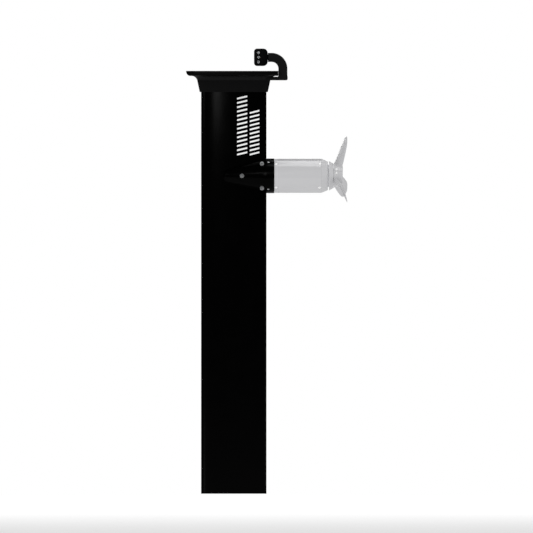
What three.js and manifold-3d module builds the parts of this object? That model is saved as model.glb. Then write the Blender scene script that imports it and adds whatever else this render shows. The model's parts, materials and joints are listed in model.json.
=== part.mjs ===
// Electric drive on a hydrofoil mast: a board plate, a hollow foil-section mast, a cable duct with
// a three-way terminal block, a nacelle clamped round the mast, a motor pod and a three-blade screw.
// Millimetres. +Z is up, +X points aft, -Y is the port side. The origin is the middle of the
// plate's top face. The screw turns about the pod's axis, which runs along X.

import * as THREE from 'three';
import { mergeVertices } from 'three/addons/utils/BufferGeometryUtils.js';
import Module from 'manifold-3d';

const wasm = await Module();
wasm.setup();

// ---------------------------------------------------------------- driving dimensions

const GAP = 0.3; // clearance between pieces that touch
const PORT = -1;
const STARBOARD = 1;
const FINE = 24; // sides of the pod's round pieces
const COARSE = 10; // sides of screws and of the holes they go through

const plate = { halfLength: 88.3, halfWidth: 57.5, thickness: 9.6, corner: 22, edge: 4.5 };
const nose = { length: 7.7, height: 9 }; // the rounded underside of the plate's front edge
const boardHole = { x: 72.5, y: 45, radius: 4.5, headRadius: 7.5, headDepth: 4 };
const plateScrew = { places: [-34, -11], radius: 4, headRadius: 7.4, headHeight: 4.3, tip: -55 };

const foil = { front: -59.6, chord: 125.2, thickness: 19, blunt: 0.6 };
const mast = { top: -plate.thickness - GAP, bottom: -810, wall: 2.3 };
const frontCavity = { front: -45, rear: 4 };
const rearCavity = { front: 8, rear: 34, floor: -800 };
const insert = { length: 64, holeRadius: 3.4, holeDepth: 30, places: [-32, -8] };

const collar = { bottom: -40.5, offset: 2.7, draft: THREE.MathUtils.degToRad(12), flareStart: -18.5 };
const well = { halfWidth: 7.6, bottom: -32 }; // where the wires fan out above the mast's rear cavity
const channel = { halfWidth: 7.6, bottom: -17.1, top: -11.9 };

const duct = {
  front: 68.3, bendX: 75.5, bendZ: 4.3, innerRadius: 13.6, outerRadius: 30.2, halfWidth: 12,
  wall: 1.8, footTop: -11, footBottom: -18, footRear: 106.3, footCorner: 3, footSlope: 1.5, edge: 1.5,
};
const block = {
  front: 41.8, rear: 68, bottom: 9.4, top: 42.8, halfWidth: 13, edge: 1.2,
  frontCorner: 6, rearCorner: 8.5, rearWall: 1.2, roomHalfWidth: 9,
};
const terminal = {
  pitch: 8.8, radius: 3.8, bore: 3, front: 42.4, rear: 57.5, screwX: 50.4, boreEnd: 53.5, wall: 1.5,
};
const terminalScrew = { radius: 2.7, head: -11.9, tip: -3.4 };

const axisZ = -201; // height of the pod's axis; every x, y, z below is measured from that axis
const nacelle = {
  front: -19.5, noseLength: 7.7, slope: 0.25, coneEnd: 62, rear: 80.55, radius: 33.25, bore: 29.3,
  edge: 0.5,
};
const nacelleBolt = {
  places: [[18.8, 0], [57.1, 23], [57.1, -23.5]], radius: 2.5, headRadius: 4.2, headHeight: 4.8,
  top: -17.3, length: 28.5,
};
const mountScrew = { x: 69, fromUp: THREE.MathUtils.degToRad(37), radius: 1.5, headRadius: 2.3, top: 33 };
const groove = { halfWidth: 6, halfHeight: 12.5, front: 34, rear: 67.8 };
const cableWindow = { halfHeight: 14, front: 33 };

const motor = { front: 80.85, rear: 171, radius: 32.5, inner: 29.5 };
const frontCap = { front: 76, rear: 89, spigot: 29, inner: 25.5, floor: 80, boss: 18, bossRear: 93 };
const rearCap = {
  front: 161.5, floor: 168, spigot: 29.2, inner: 25.5, boss: 18, shoulder: [182.8, 27.4],
  end: [183.2, 26.7], nose: 21.5, rear: 184.6,
};
const capScrew = { places: [84, 167.4], radius: 1.5, headRadius: 3, top: 32.6 };
const bearing = { outer: 14, inner: 6.3, width: 8, innerTop: 8.4, outerBottom: 11.6 };
const frontBearingX = 84.3;
const rearBearingX = 163.7;
const stator = { front: 96, rear: 156, outer: 29.2, yoke: 25.4, bore: 18, teeth: 12 };
const rotor = { front: 97, rear: 155, core: 14, magnets: 17.3 };
const shaft = { front: 84.9, rear: 210.3, radius: 6 };
const seal = { front: 174, rear: 181, outer: 12, inner: 6.5 };

const hub = {
  front: 185.4, split: 194.3, neck: 199.6, rear: 211.8, radius: 28.1, slope: 0.57,
  barrel: 19.5, core: 14, recess: 11, fillet: 2,
};
const blade = { count: 3, root: 17, tip: 76, firstAngle: THREE.MathUtils.degToRad(2.75) };
const bladeScrew = {
  x: 199.2, angle: THREE.MathUtils.degToRad(47.5), radius: 2, headRadius: 2.6, top: 20.3,
};
const nut = { front: 204.3, rear: 210.9, radius: 9.8 };

const wire = {
  radius: 2.25, spacing: 7, spread: 5, lanes: [28, 21.5, 12.5], bend: 9, topBend: 7.5, riserBend: 8,
  steps: 66,
  // From the duct to the terminals: x, the share of the spread taken in and of the pitch reached.
  fan: [[69.5, 0, 0.1], [66, 0.25, 0.45], [62.5, 0.7, 0.85], [60, 1, 1], [55.6, 1, 1]],
};
const gland = { front: 70.5, rear: 75.7, radius: 24.9, hole: 2.6 };

// ---------------------------------------------------------------- materials

const finish = (color, roughness, metalness) =>
  new THREE.MeshStandardMaterial({ color, roughness, metalness });

const blackAnodised = finish(0x0b0b0c, 0.42, 0.6);
const blackPaint = finish(0x141415, 0.5, 0.1);
const blackPlastic = finish(0x1a1a1b, 0.6, 0);
const paleAlloy = finish(0xbfbfbf, 0.45, 0.2);
const paleComposite = finish(0xc2c2c2, 0.5, 0);
const stainless = finish(0xcfd0d2, 0.25, 1);
const brass = finish(0xb08d4a, 0.35, 1);
const steel = finish(0x8f9194, 0.35, 1);
const copper = finish(0xa65a35, 0.5, 0.6);
const rubber = finish(0x101010, 0.85, 0);
const silicone = finish(0x161616, 0.7, 0);

// ---------------------------------------------------------------- solids from geometries

// A closed geometry as a solid, with shared vertices merged and its faces pointing out.
function solid(geometry) {
  const bare = geometry.clone();
  bare.deleteAttribute('normal');
  bare.deleteAttribute('uv');
  const welded = mergeVertices(bare, 1e-3);
  const positions = welded.attributes.position;
  const corner = (index) => new THREE.Vector3().fromBufferAttribute(positions, index);
  const triangles = [];
  let volume = 0;
  for (let i = 0; i < welded.index.count; i += 3) {
    const [a, b, c] = [0, 1, 2].map((k) => welded.index.getX(i + k));
    if (a === b || b === c || c === a) continue;
    triangles.push([a, b, c]);
    volume += corner(a).dot(corner(b).cross(corner(c)));
  }
  const facingOut = volume > 0 ? triangles : triangles.map(([a, b, c]) => [a, c, b]);
  return new wasm.Manifold(new wasm.Mesh({
    numProp: 3,
    vertProperties: new Float32Array(positions.array),
    triVerts: new Uint32Array(facingOut.flat()),
  }));
}

function geometryOf(body) {
  const cut = body.getMesh();
  const geometry = new THREE.BufferGeometry();
  geometry.setAttribute('position', new THREE.BufferAttribute(cut.vertProperties, 3));
  geometry.setIndex(new THREE.BufferAttribute(cut.triVerts, 1));
  geometry.computeVertexNormals();
  return geometry;
}

const without = (body, cuts) => cuts.reduce((rest, cut) => rest.subtract(cut), body);
const joined = (bodies) => bodies.reduce((all, body) => all.add(body));

function box([x0, x1], [y0, y1], [z0, z1]) {
  const geometry = new THREE.BoxGeometry(x1 - x0, y1 - y0, z1 - z0);
  return solid(geometry.translate((x0 + x1) / 2, (y0 + y1) / 2, (z0 + z1) / 2));
}

// A profile of [distance along the axis, radius] turned round the axis. It closes on itself
// unless it starts and ends on the axis.
function lathe(profile, sides) {
  const points = profile.map(([along, radius]) => new THREE.Vector2(radius, along));
  if (profile[0][1] > 0) points.push(points[0].clone());
  return new THREE.LatheGeometry(points, sides);
}

const turnedOnX = (profile, sides = FINE) => solid(lathe(profile, sides).rotateZ(-Math.PI / 2));
const turnedOnZ = (profile, sides = COARSE) => solid(lathe(profile, sides).rotateX(Math.PI / 2));

function rod(radius, start, end, sides = COARSE) {
  const from = new THREE.Vector3(...start);
  const to = new THREE.Vector3(...end);
  const along = to.clone().sub(from);
  const turn = new THREE.Quaternion().setFromUnitVectors(
    new THREE.Vector3(0, 1, 0), along.clone().normalize());
  const geometry = new THREE.CylinderGeometry(radius, radius, along.length(), sides);
  geometry.applyQuaternion(turn);
  return solid(geometry.translate(...from.lerp(to, 0.5).toArray()));
}

// An outline of Vector2 or a Shape, extruded up between two heights.
function upright(outline, bottom, top, edge = 0) {
  const shape = outline instanceof THREE.Shape ? outline : new THREE.Shape(outline);
  const geometry = new THREE.ExtrudeGeometry(shape, {
    depth: top - bottom - 2 * edge, curveSegments: 6, bevelEnabled: edge > 0,
    bevelThickness: edge, bevelSize: edge, bevelOffset: -edge, bevelSegments: 2,
  });
  return solid(geometry.translate(0, 0, bottom + edge));
}

// A side view in x and z, extruded across the centre plane.
function sideways(shape, halfWidth, edge = 0) {
  const geometry = new THREE.ExtrudeGeometry(shape, {
    depth: 2 * (halfWidth - edge), curveSegments: 6, bevelEnabled: edge > 0,
    bevelThickness: edge, bevelSize: edge, bevelOffset: -edge, bevelSegments: 2,
  });
  return solid(geometry.translate(0, 0, edge - halfWidth).rotateX(Math.PI / 2));
}

// A skin over sections with equally many points, closed by a flat fan at each end.
function loft(sections) {
  const count = sections[0].length;
  const points = sections.flat();
  const index = [];
  for (let row = 0; row < sections.length - 1; row += 1) {
    for (let i = 0; i < count; i += 1) {
      const a = row * count + i;
      const b = row * count + (i + 1) % count;
      index.push(a, b, a + count, b, b + count, a + count);
    }
  }
  for (const [first, flip] of [[0, true], [(sections.length - 1) * count, false]]) {
    for (let i = 1; i < count - 1; i += 1) {
      index.push(first, first + (flip ? i + 1 : i), first + (flip ? i : i + 1));
    }
  }
  const geometry = new THREE.BufferGeometry().setFromPoints(points);
  geometry.setIndex(index);
  return solid(geometry);
}

// ---------------------------------------------------------------- placing pieces

const drive = new THREE.Group();
drive.position.z = axisZ;
const machine = new THREE.Group();
machine.add(drive);

function place(group, name, shape, material) {
  const geometry = shape instanceof THREE.BufferGeometry ? shape : geometryOf(shape);
  const mesh = new THREE.Mesh(geometry, material);
  mesh.name = name;
  group.add(mesh);
  return mesh;
}

// A screw with a hexagon socket. Its head's top is at z = 0 and its tip points down.
function screwGeometry({ radius, headRadius, headHeight, length, socket = radius * 0.8, cone = false }) {
  const body = turnedOnZ([
    [0, 0], [0, headRadius], [cone ? -0.4 : -headHeight, headRadius],
    [-headHeight, radius], [-length, radius], [-length, 0],
  ]);
  const hexagon = new THREE.CylinderGeometry(socket, socket, headHeight * 1.4, 6).rotateX(Math.PI / 2);
  return geometryOf(body.subtract(solid(hexagon)));
}

function placeScrew(group, name, geometry, top, outward) {
  const screw = place(group, name, geometry, stainless);
  screw.position.set(...top);
  screw.quaternion.setFromUnitVectors(new THREE.Vector3(0, 0, 1), new THREE.Vector3(...outward));
}

// A point at a radius round the x axis: 0 is straight up, and it turns towards port.
const around = (x, radius, angle) => [x, -radius * Math.sin(angle), radius * Math.cos(angle)];
const outwardAt = (angle) => [0, -Math.sin(angle), Math.cos(angle)];

// The hole and the head's pocket for a radial screw.
function radialHole(x, angle, { radius, headRadius, floor, surface, depth }) {
  return joined([
    rod(radius + GAP, around(x, surface, angle), around(x, depth, angle)),
    rod(headRadius + GAP, around(x, surface, angle), around(x, floor, angle)),
  ]);
}

// ---------------------------------------------------------------- the mast's section

const foilRear = foil.front + foil.chord;

function foilHalf(x) {
  const s = (x - foil.front) / foil.chord;
  const root = 0.2969 * Math.sqrt(s);
  const symmetric = root - 0.126 * s - 0.3516 * s ** 2 + 0.2843 * s ** 3 - 0.1015 * s ** 4;
  return 5 * foil.thickness * symmetric + foil.blunt * s;
}

// The section's outline grown by an offset, which also rounds the trailing edge.
function foilOutline(offset) {
  const steps = 13;
  const side = [new THREE.Vector2(foil.front - offset, 0)];
  let lean = 0;
  for (let i = 1; i <= steps; i += 1) {
    const x = foil.front + foil.chord * (1 - Math.cos(Math.PI * i / steps)) / 2;
    const step = 0.01;
    const slope = (foilHalf(x) - foilHalf(x - step)) / step;
    lean = Math.atan2(1, -slope);
    side.push(new THREE.Vector2(x + offset * Math.cos(lean), foilHalf(x) + offset * Math.sin(lean)));
  }
  const arcSteps = offset > 1 ? 5 : 2;
  for (let i = 1; i <= arcSteps && offset > 0; i += 1) {
    const angle = lean * (1 - i / arcSteps);
    const x = foilRear + offset * Math.cos(angle);
    side.push(new THREE.Vector2(x, foilHalf(foilRear) + offset * Math.sin(angle)));
  }
  const mirrored = side.slice(1).map((point) => new THREE.Vector2(point.x, -point.y));
  return [...side, ...mirrored.reverse()];
}

// A cavity between two ribs, a wall's thickness inside the section.
function cavityOutline({ front, rear }, shrink = 0) {
  const steps = 6;
  const side = [];
  for (let i = 0; i <= steps; i += 1) {
    const x = THREE.MathUtils.lerp(front + shrink, rear - shrink, i / steps);
    side.push(new THREE.Vector2(x, foilHalf(x) - mast.wall - shrink));
  }
  const mirrored = side.map((point) => new THREE.Vector2(point.x, -point.y));
  return [...side, ...mirrored.reverse()];
}

// ---------------------------------------------------------------- board plate

function roundedOutline(halfLength, halfWidth, corner) {
  const shape = new THREE.Shape();
  const x = halfLength - corner;
  const y = halfWidth - corner;
  shape.absarc(x, y, corner, 0, Math.PI / 2);
  shape.absarc(-x, y, corner, Math.PI / 2, Math.PI);
  shape.absarc(-x, -y, corner, Math.PI, 1.5 * Math.PI);
  shape.absarc(x, -y, corner, 1.5 * Math.PI, 2 * Math.PI);
  return shape;
}

function plateSolid() {
  const { halfLength, halfWidth, thickness, corner, edge } = plate;
  const above = 2 * edge;
  const outline = roundedOutline(halfLength + edge, halfWidth, corner);
  const slab = upright(outline, -thickness, above, edge);
  const profile = new THREE.Shape();
  profile.moveTo(-halfLength, 0);
  profile.lineTo(halfLength, 0);
  profile.lineTo(halfLength, -thickness);
  profile.lineTo(nose.length - halfLength, -thickness);
  profile.absellipse(nose.length - halfLength, nose.height - thickness,
    nose.length, nose.height, 1.5 * Math.PI, Math.PI, true);
  const rounded = slab.intersect(sideways(profile, halfWidth + 1));
  const holes = [];
  for (const x of [-boardHole.x, boardHole.x]) {
    for (const y of [-boardHole.y, boardHole.y]) {
      holes.push(rod(boardHole.radius, [x, y, 1], [x, y, -thickness - 1]));
      const pocketTop = boardHole.headDepth - thickness;
      holes.push(rod(boardHole.headRadius, [x, y, pocketTop], [x, y, -thickness - 1]));
    }
  }
  for (const x of plateScrew.places) {
    const { radius, headRadius, headHeight } = plateScrew;
    const hole = turnedOnZ([
      [1, 0], [1, headRadius + 0.5], [-0.3, headRadius + 0.5],
      [-headHeight - 0.4, radius + GAP], [-thickness - 1, radius + GAP], [-thickness - 1, 0],
    ]);
    holes.push(hole.translate([x, 0, 0]));
  }
  return without(rounded, holes);
}

place(machine, 'board_plate', plateSolid(), blackPaint);

const plateScrewShape = screwGeometry({
  radius: plateScrew.radius, headRadius: plateScrew.headRadius,
  headHeight: plateScrew.headHeight, length: -plateScrew.tip, socket: 2.9, cone: true,
});
plateScrew.places.forEach((x, i) =>
  placeScrew(machine, `plate_screw_${i + 1}`, plateScrewShape, [x, 0, -0.1], [0, 0, 1]));

// ---------------------------------------------------------------- mast and its inserts

// Where the nacelle's bolts cross the mast, as rods with room round the bolts.
const boltPassages = nacelleBolt.places.map(([x, z]) =>
  rod(nacelleBolt.radius + GAP, [x, -40, axisZ + z], [x, 40, axisZ + z]));

function mastSolid() {
  const across = [-20, 20];
  return without(upright(foilOutline(0), mast.bottom, mast.top), [
    upright(cavityOutline(frontCavity), mast.bottom - 1, mast.top + 1),
    upright(cavityOutline(rearCavity), rearCavity.floor, mast.top + 1),
    box([cableWindow.front, foilRear + 1], across,
      [axisZ - cableWindow.halfHeight, axisZ + cableWindow.halfHeight]),
    box([rearCavity.front, rearCavity.rear], across, [well.bottom, 0]),
    box([rearCavity.rear - 1, foilRear + 1], across, [channel.bottom - GAP, 0]),
    ...boltPassages,
  ]);
}

place(machine, 'mast_extrusion', mastSolid(), blackAnodised);

const insertOutline = cavityOutline(frontCavity, GAP);
const upperInsertTop = mast.top - GAP;
const upperHoles = plateScrew.places.map((x) =>
  rod(plateScrew.radius + GAP, [x, 0, upperInsertTop + 1], [x, 0, plateScrew.tip - 3]));
place(machine, 'upper_insert', without(
  upright(insertOutline, upperInsertTop - insert.length, upperInsertTop), upperHoles), steel);

const footTop = mast.bottom + insert.length;
const footHoles = insert.places.map((x) =>
  rod(insert.holeRadius, [x, 0, mast.bottom - 1], [x, 0, mast.bottom + insert.holeDepth]));
place(machine, 'foot_insert', without(
  upright(insertOutline, mast.bottom, footTop), footHoles), steel);

// ---------------------------------------------------------------- collar under the plate

// A drafted sleeve that flares out, by an arc, to meet the plate's underside.
function collarSkin(grow) {
  const rows = [[collar.offset, collar.bottom - grow]];
  const rise = collar.flareStart - collar.bottom;
  const startOffset = collar.offset + rise * Math.tan(collar.draft);
  const radius = (mast.top - collar.flareStart) / (1 - Math.sin(collar.draft));
  const centre = [startOffset + radius * Math.cos(collar.draft), mast.top - radius];
  const steps = 6;
  for (let i = 0; i <= steps; i += 1) {
    const angle = THREE.MathUtils.lerp(Math.PI - collar.draft, Math.PI / 2, i / steps);
    rows.push([centre[0] + radius * Math.cos(angle), centre[1] + radius * Math.sin(angle)]);
  }
  return loft(rows.map(([offset, z]) =>
    foilOutline(offset + grow).map((point) => new THREE.Vector3(point.x, point.y, z))));
}

const channelBox = box([rearCavity.front, duct.footRear - 1.8],
  [-channel.halfWidth, channel.halfWidth], [channel.bottom, channel.top]);

place(machine, 'mast_collar', without(collarSkin(0), [
  upright(foilOutline(GAP), collar.bottom - 1, 0),
  box([rearCavity.front, rearCavity.rear], [-well.halfWidth, well.halfWidth], [well.bottom, 0]),
  channelBox,
]), blackPaint);

// ---------------------------------------------------------------- cable duct

const bendCentre = [duct.bendX, duct.bendZ];
const ductMiddleZ = duct.bendZ + (duct.innerRadius + duct.outerRadius) / 2;

// The duct's side view: along from the block, down round the elbow and forward along the foot.
function ductOutline() {
  const { front, innerRadius, outerRadius, footTop: top, footBottom, footRear, footCorner } = duct;
  const [x, z] = bendCentre;
  const shape = new THREE.Shape();
  shape.moveTo(front, z + outerRadius);
  shape.absarc(x, z, outerRadius, Math.PI / 2, 0, true);
  shape.lineTo(x + outerRadius, top + duct.footSlope);
  shape.lineTo(footRear, top);
  shape.absarc(footRear - footCorner, footBottom + footCorner, footCorner, 0, -Math.PI / 2, true);
  shape.lineTo(foilRear, footBottom);
  shape.lineTo(foilRear, top);
  shape.lineTo(x + innerRadius, top);
  shape.absarc(x, z, innerRadius, 0, Math.PI / 2, false);
  shape.lineTo(front, z + innerRadius);
  return shape;
}

function ductPassage() {
  const { front, innerRadius, outerRadius, wall } = duct;
  const [x, z] = bendCentre;
  const shape = new THREE.Shape();
  shape.moveTo(front - 2, z + outerRadius - wall);
  shape.absarc(x, z, outerRadius - wall, Math.PI / 2, 0, true);
  shape.lineTo(x + outerRadius - wall, channel.bottom);
  shape.lineTo(x + innerRadius + wall, channel.bottom);
  shape.absarc(x, z, innerRadius + wall, 0, Math.PI / 2, false);
  shape.lineTo(front - 2, z + innerRadius + wall);
  return sideways(shape, duct.halfWidth - duct.wall);
}

place(machine, 'cable_duct', without(sideways(ductOutline(), duct.halfWidth, duct.edge), [
  ductPassage(), channelBox, collarSkin(GAP),
]), blackPlastic);

// ---------------------------------------------------------------- terminal block

const terminalHeights = [1, 0, -1].map((step) => ductMiddleZ + step * terminal.pitch);

function blockSolid() {
  const { front, rear, bottom, top, halfWidth, edge, frontCorner, rearCorner } = block;
  const shape = new THREE.Shape();
  shape.absarc(rear - rearCorner, top - rearCorner, rearCorner, 0, Math.PI / 2);
  shape.absarc(front + frontCorner, top - frontCorner, frontCorner, Math.PI / 2, Math.PI);
  shape.absarc(front + frontCorner, bottom + frontCorner, frontCorner, Math.PI, 1.5 * Math.PI);
  shape.absarc(rear - rearCorner, bottom + rearCorner, rearCorner, 1.5 * Math.PI, 2 * Math.PI);
  const room = terminal.pitch + wire.radius + 2;
  const neck = (duct.outerRadius - duct.innerRadius) / 2 - duct.wall;
  const across = [-block.roomHalfWidth, block.roomHalfWidth];
  const cuts = [
    box([terminal.rear + GAP, rear - block.rearWall], across, [ductMiddleZ - room, ductMiddleZ + room]),
    box([rear - 2, rear + 1], across, [ductMiddleZ - neck, ductMiddleZ + neck]),
  ];
  for (const z of terminalHeights) {
    cuts.push(rod(terminal.radius + GAP, [front - 1, 0, z], [terminal.rear + 1, 0, z]));
    cuts.push(rod(terminalScrew.radius + GAP, [terminal.screwX, -halfWidth - 1, z],
      [terminal.screwX, 0, z]));
  }
  return without(sideways(shape, halfWidth, edge), cuts);
}

place(machine, 'terminal_housing', blockSolid(), blackPlastic);

// A sleeve open at both ends, with a wall between the outer lead's end and the phase wire's.
function terminalSolid() {
  const { front, rear, radius, bore, screwX, boreEnd, wall } = terminal;
  return without(rod(radius, [front, 0, 0], [rear, 0, 0]), [
    rod(bore, [front - 1, 0, 0], [boreEnd, 0, 0], 16),
    rod(wire.radius + GAP, [boreEnd + wall, 0, 0], [rear + 1, 0, 0]),
    rod(terminalScrew.radius + GAP, [screwX, -radius - 1, 0], [screwX, 0, 0]),
  ]);
}

const terminalShape = geometryOf(terminalSolid());
const terminalScrewShape = screwGeometry({
  radius: terminalScrew.radius, headRadius: terminalScrew.radius, headHeight: 2.4,
  length: terminalScrew.tip - terminalScrew.head, socket: 1.6,
});
terminalHeights.forEach((z, i) => {
  place(machine, `phase_terminal_${i + 1}`, terminalShape, brass).position.z = z;
  placeScrew(machine, `terminal_screw_${i + 1}`, terminalScrewShape,
    [terminal.screwX, terminalScrew.head, z], [0, -1, 0]);
});

// ---------------------------------------------------------------- nacelle round the mast

const fourAngles = (fromUp) => [fromUp, Math.PI - fromUp, Math.PI + fromUp, -fromUp];
const mountAngles = fourAngles(mountScrew.fromUp);
const mountHole = { ...mountScrew, floor: 31.1, surface: 36, depth: 24 };

// A cone that ends in a ring at the motor and in half an ellipse at the front.
function bulletProfile() {
  const { front, noseLength, slope, coneEnd, rear, radius, bore, edge } = nacelle;
  const noseRadius = radius - slope * (coneEnd - front - noseLength);
  const profile = [];
  const steps = 5;
  for (let i = 0; i <= steps; i += 1) {
    const turn = Math.PI / 2 * i / steps;
    profile.push([front + noseLength * (1 - Math.cos(turn)), noseRadius * Math.sin(turn)]);
  }
  const ringStart = foilRear + 0.1;
  return [
    ...profile, [coneEnd, radius], [rear - edge, radius],
    [rear, radius - edge], [rear, bore], [ringStart, bore], [ringStart, 0],
  ];
}

function nacelleHalf(side) {
  const { front, rear } = nacelle;
  const otherSide = side === PORT ? [-GAP / 2, 50] : [-50, GAP / 2];
  const cuts = [
    upright(foilOutline(GAP), -50, 50),
    box([front - 1, rear + 1], otherSide, [-50, 50]),
    box([groove.front, groove.rear], [-groove.halfWidth, groove.halfWidth],
      [-groove.halfHeight, groove.halfHeight]),
  ];
  const tip = nacelleBolt.top + nacelleBolt.length + 1;
  const floor = nacelleBolt.top + nacelleBolt.headHeight + GAP;
  for (const [x, z] of nacelleBolt.places) {
    cuts.push(rod(nacelleBolt.radius + GAP, [x, -40, z], [x, tip, z]));
    if (side === PORT) {
      cuts.push(rod(nacelleBolt.headRadius + GAP, [x, -40, z], [x, floor, z]));
    }
  }
  cuts.push(...mountAngles.map((angle) => radialHole(mountScrew.x, angle, mountHole)));
  return without(turnedOnX(bulletProfile(), 28), cuts);
}

place(drive, 'nacelle_port', nacelleHalf(PORT), blackPaint);
place(drive, 'nacelle_starboard', nacelleHalf(STARBOARD), blackPaint);

const nacelleBoltShape = screwGeometry({
  radius: nacelleBolt.radius, headRadius: nacelleBolt.headRadius,
  headHeight: nacelleBolt.headHeight, length: nacelleBolt.length, socket: 2.3,
});
nacelleBolt.places.forEach(([x, z], i) =>
  placeScrew(drive, `nacelle_bolt_${i + 1}`, nacelleBoltShape, [x, nacelleBolt.top, z], [0, -1, 0]));

const mountScrewShape = screwGeometry({
  radius: mountScrew.radius, headRadius: mountScrew.headRadius, headHeight: 1.6, length: 6,
  socket: 1,
});
mountAngles.forEach((angle, i) =>
  placeScrew(drive, `motor_mount_screw_${i + 1}`, mountScrewShape,
    around(mountScrew.x, mountScrew.top, angle), outwardAt(angle)));

// ---------------------------------------------------------------- motor housing and caps

const capAngles = fourAngles(Math.PI / 4);
const capHole = { ...capScrew, floor: 30.9, surface: 36, depth: 24 };

function capHoles(x) {
  return capAngles.map((angle) => radialHole(x, angle, capHole));
}

const radialRod = ({ radius }, x, angle) =>
  rod(radius + GAP, around(x, 36, angle), around(x, 20, angle));

function frontCapSolid() {
  const { front, rear, spigot, inner, floor, boss, bossRear } = frontCap;
  const flange = foilRear + 0.4;
  const seat = bearing.outer + GAP;
  const seatFloor = frontBearingX - GAP;
  const body = turnedOnX([
    [front, 0], [front, inner], [flange, inner], [flange, spigot], [rear, spigot],
    [rear, inner], [floor, inner], [floor, boss], [bossRear, boss], [bossRear, seat],
    [seatFloor, seat], [seatFloor, 0],
  ]);
  return without(body, [
    ...mountAngles.map((angle) => radialRod(mountScrew, mountScrew.x, angle)),
    ...capAngles.map((angle) => radialRod(capScrew, capScrew.places[0], angle)),
  ]);
}

function rearCapSolid() {
  const { front, floor, spigot, inner, boss, shoulder, end, nose, rear } = rearCap;
  const face = motor.rear + GAP;
  const seat = bearing.outer + GAP;
  const seatFloor = rearBearingX + bearing.width + 0.6;
  const bore = seal.inner + 0.4;
  const body = turnedOnX([
    [front, seat], [front, boss], [floor, boss], [floor, inner], [front, inner], [front, spigot],
    [face, spigot], [face, motor.radius], shoulder, end, [end[0], nose], [rear, nose], [rear, bore],
    [seal.rear + GAP, bore], [seal.rear + GAP, seal.outer + GAP],
    [seal.front - GAP, seal.outer + GAP], [seal.front - GAP, 9], [seatFloor, 9], [seatFloor, seat],
  ]);
  return without(body, capAngles.map((angle) => radialRod(capScrew, capScrew.places[1], angle)));
}

place(drive, 'motor_front_cap', frontCapSolid(), paleAlloy);
place(drive, 'motor_housing', without(turnedOnX([
  [motor.front, motor.inner], [motor.front, motor.radius],
  [motor.rear, motor.radius], [motor.rear, motor.inner],
]), capScrew.places.flatMap(capHoles)), paleAlloy);
place(drive, 'motor_rear_cap', rearCapSolid(), paleAlloy);

const capScrewShape = screwGeometry({
  radius: capScrew.radius, headRadius: capScrew.headRadius, headHeight: 1.4, length: 6, socket: 1.2,
});
capScrew.places.forEach((x, end) => capAngles.forEach((angle, i) =>
  placeScrew(drive, `motor_cap_screw_${end * capAngles.length + i + 1}`, capScrewShape,
    around(x, capScrew.top, angle), outwardAt(angle))));

// ---------------------------------------------------------------- stator, bearings and seal

const slotAngle = 2 * Math.PI / stator.teeth;
const turnedAbout = (body, angle) => body.rotate([THREE.MathUtils.radToDeg(angle), 0, 0]);
const ring = (front, rear, inner, outer, sides = FINE) =>
  turnedOnX([[front, inner], [front, outer], [rear, outer], [rear, inner]], sides);

function statorCore() {
  const length = [stator.front, stator.rear];
  const tooth = box(length, [-1.8, 1.8], [stator.bore - 1, stator.yoke + 1])
    .add(box(length, [-3.2, 3.2], [stator.bore - 1, stator.bore + 1.5]));
  const teeth = Array.from({ length: stator.teeth }, (_, i) => turnedAbout(tooth, i * slotAngle));
  const core = ring(...length, stator.yoke, stator.outer).add(joined(teeth));
  return core.subtract(rod(stator.bore, [length[0] - 1, 0, 0], [length[1] + 1, 0, 0], 24));
}

function statorWindings() {
  const overhang = 5;
  const ends = [
    ring(stator.front - overhang, stator.front - GAP, 19, 25),
    ring(stator.rear + GAP, stator.rear + overhang, 19, 25),
  ];
  const bar = box([stator.front - 1, stator.rear + 1], [-2.4, 2.4], [20.3, 24.9]);
  const bars = Array.from({ length: stator.teeth }, (_, i) =>
    turnedAbout(bar, (i + 0.5) * slotAngle));
  return joined([...ends, ...bars]);
}

place(drive, 'stator_core', statorCore(), steel);
place(drive, 'stator_windings', statorWindings(), copper);
place(drive, 'shaft_seal', ring(seal.front, seal.rear, seal.inner, seal.outer, 20), rubber);
for (const [end, x] of [['front', frontBearingX], ['rear', rearBearingX]]) {
  place(drive, `${end}_bearing_outer`,
    ring(x, x + bearing.width, bearing.outerBottom, bearing.outer, 20), steel);
  place(drive, `${end}_bearing_inner`,
    ring(x, x + bearing.width, bearing.inner, bearing.innerTop, 20), steel);
}

// ---------------------------------------------------------------- rotor

place(drive, 'motor_shaft', rod(shaft.radius, [shaft.front, 0, 0], [shaft.rear, 0, 0], 20), steel);
place(drive, 'rotor_core',
  ring(rotor.front, rotor.rear, shaft.radius + GAP, rotor.core, 20), steel);
place(drive, 'rotor_magnets',
  ring(rotor.front, rotor.rear, rotor.core + GAP, rotor.magnets, 20), steel);

// ---------------------------------------------------------------- screw propeller

const hubRadius = (x) => hub.radius - hub.slope * (x - hub.front);
const bladeScrewAngles = [-bladeScrew.angle, bladeScrew.angle];
const bladeAngles = Array.from({ length: blade.count }, (_, i) =>
  blade.firstAngle + i * 2 * Math.PI / blade.count);

function hubSolid() {
  const bore = shaft.radius + GAP;
  const end = hub.rear - GAP;
  const body = turnedOnX([
    [hub.front, bore], [hub.front, hub.radius], [hub.split, hubRadius(hub.split)],
    [hub.split, hub.core], [end, hub.core], [end, hub.recess],
    [nut.front - GAP, hub.recess], [nut.front - GAP, bore],
  ]);
  const holes = bladeAngles.flatMap((angle) => bladeScrewAngles.map((turn) =>
    rod(bladeScrew.radius + GAP, around(bladeScrew.x, 20, angle + turn),
      around(bladeScrew.x, 8, angle + turn))));
  return without(body, holes);
}

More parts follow.
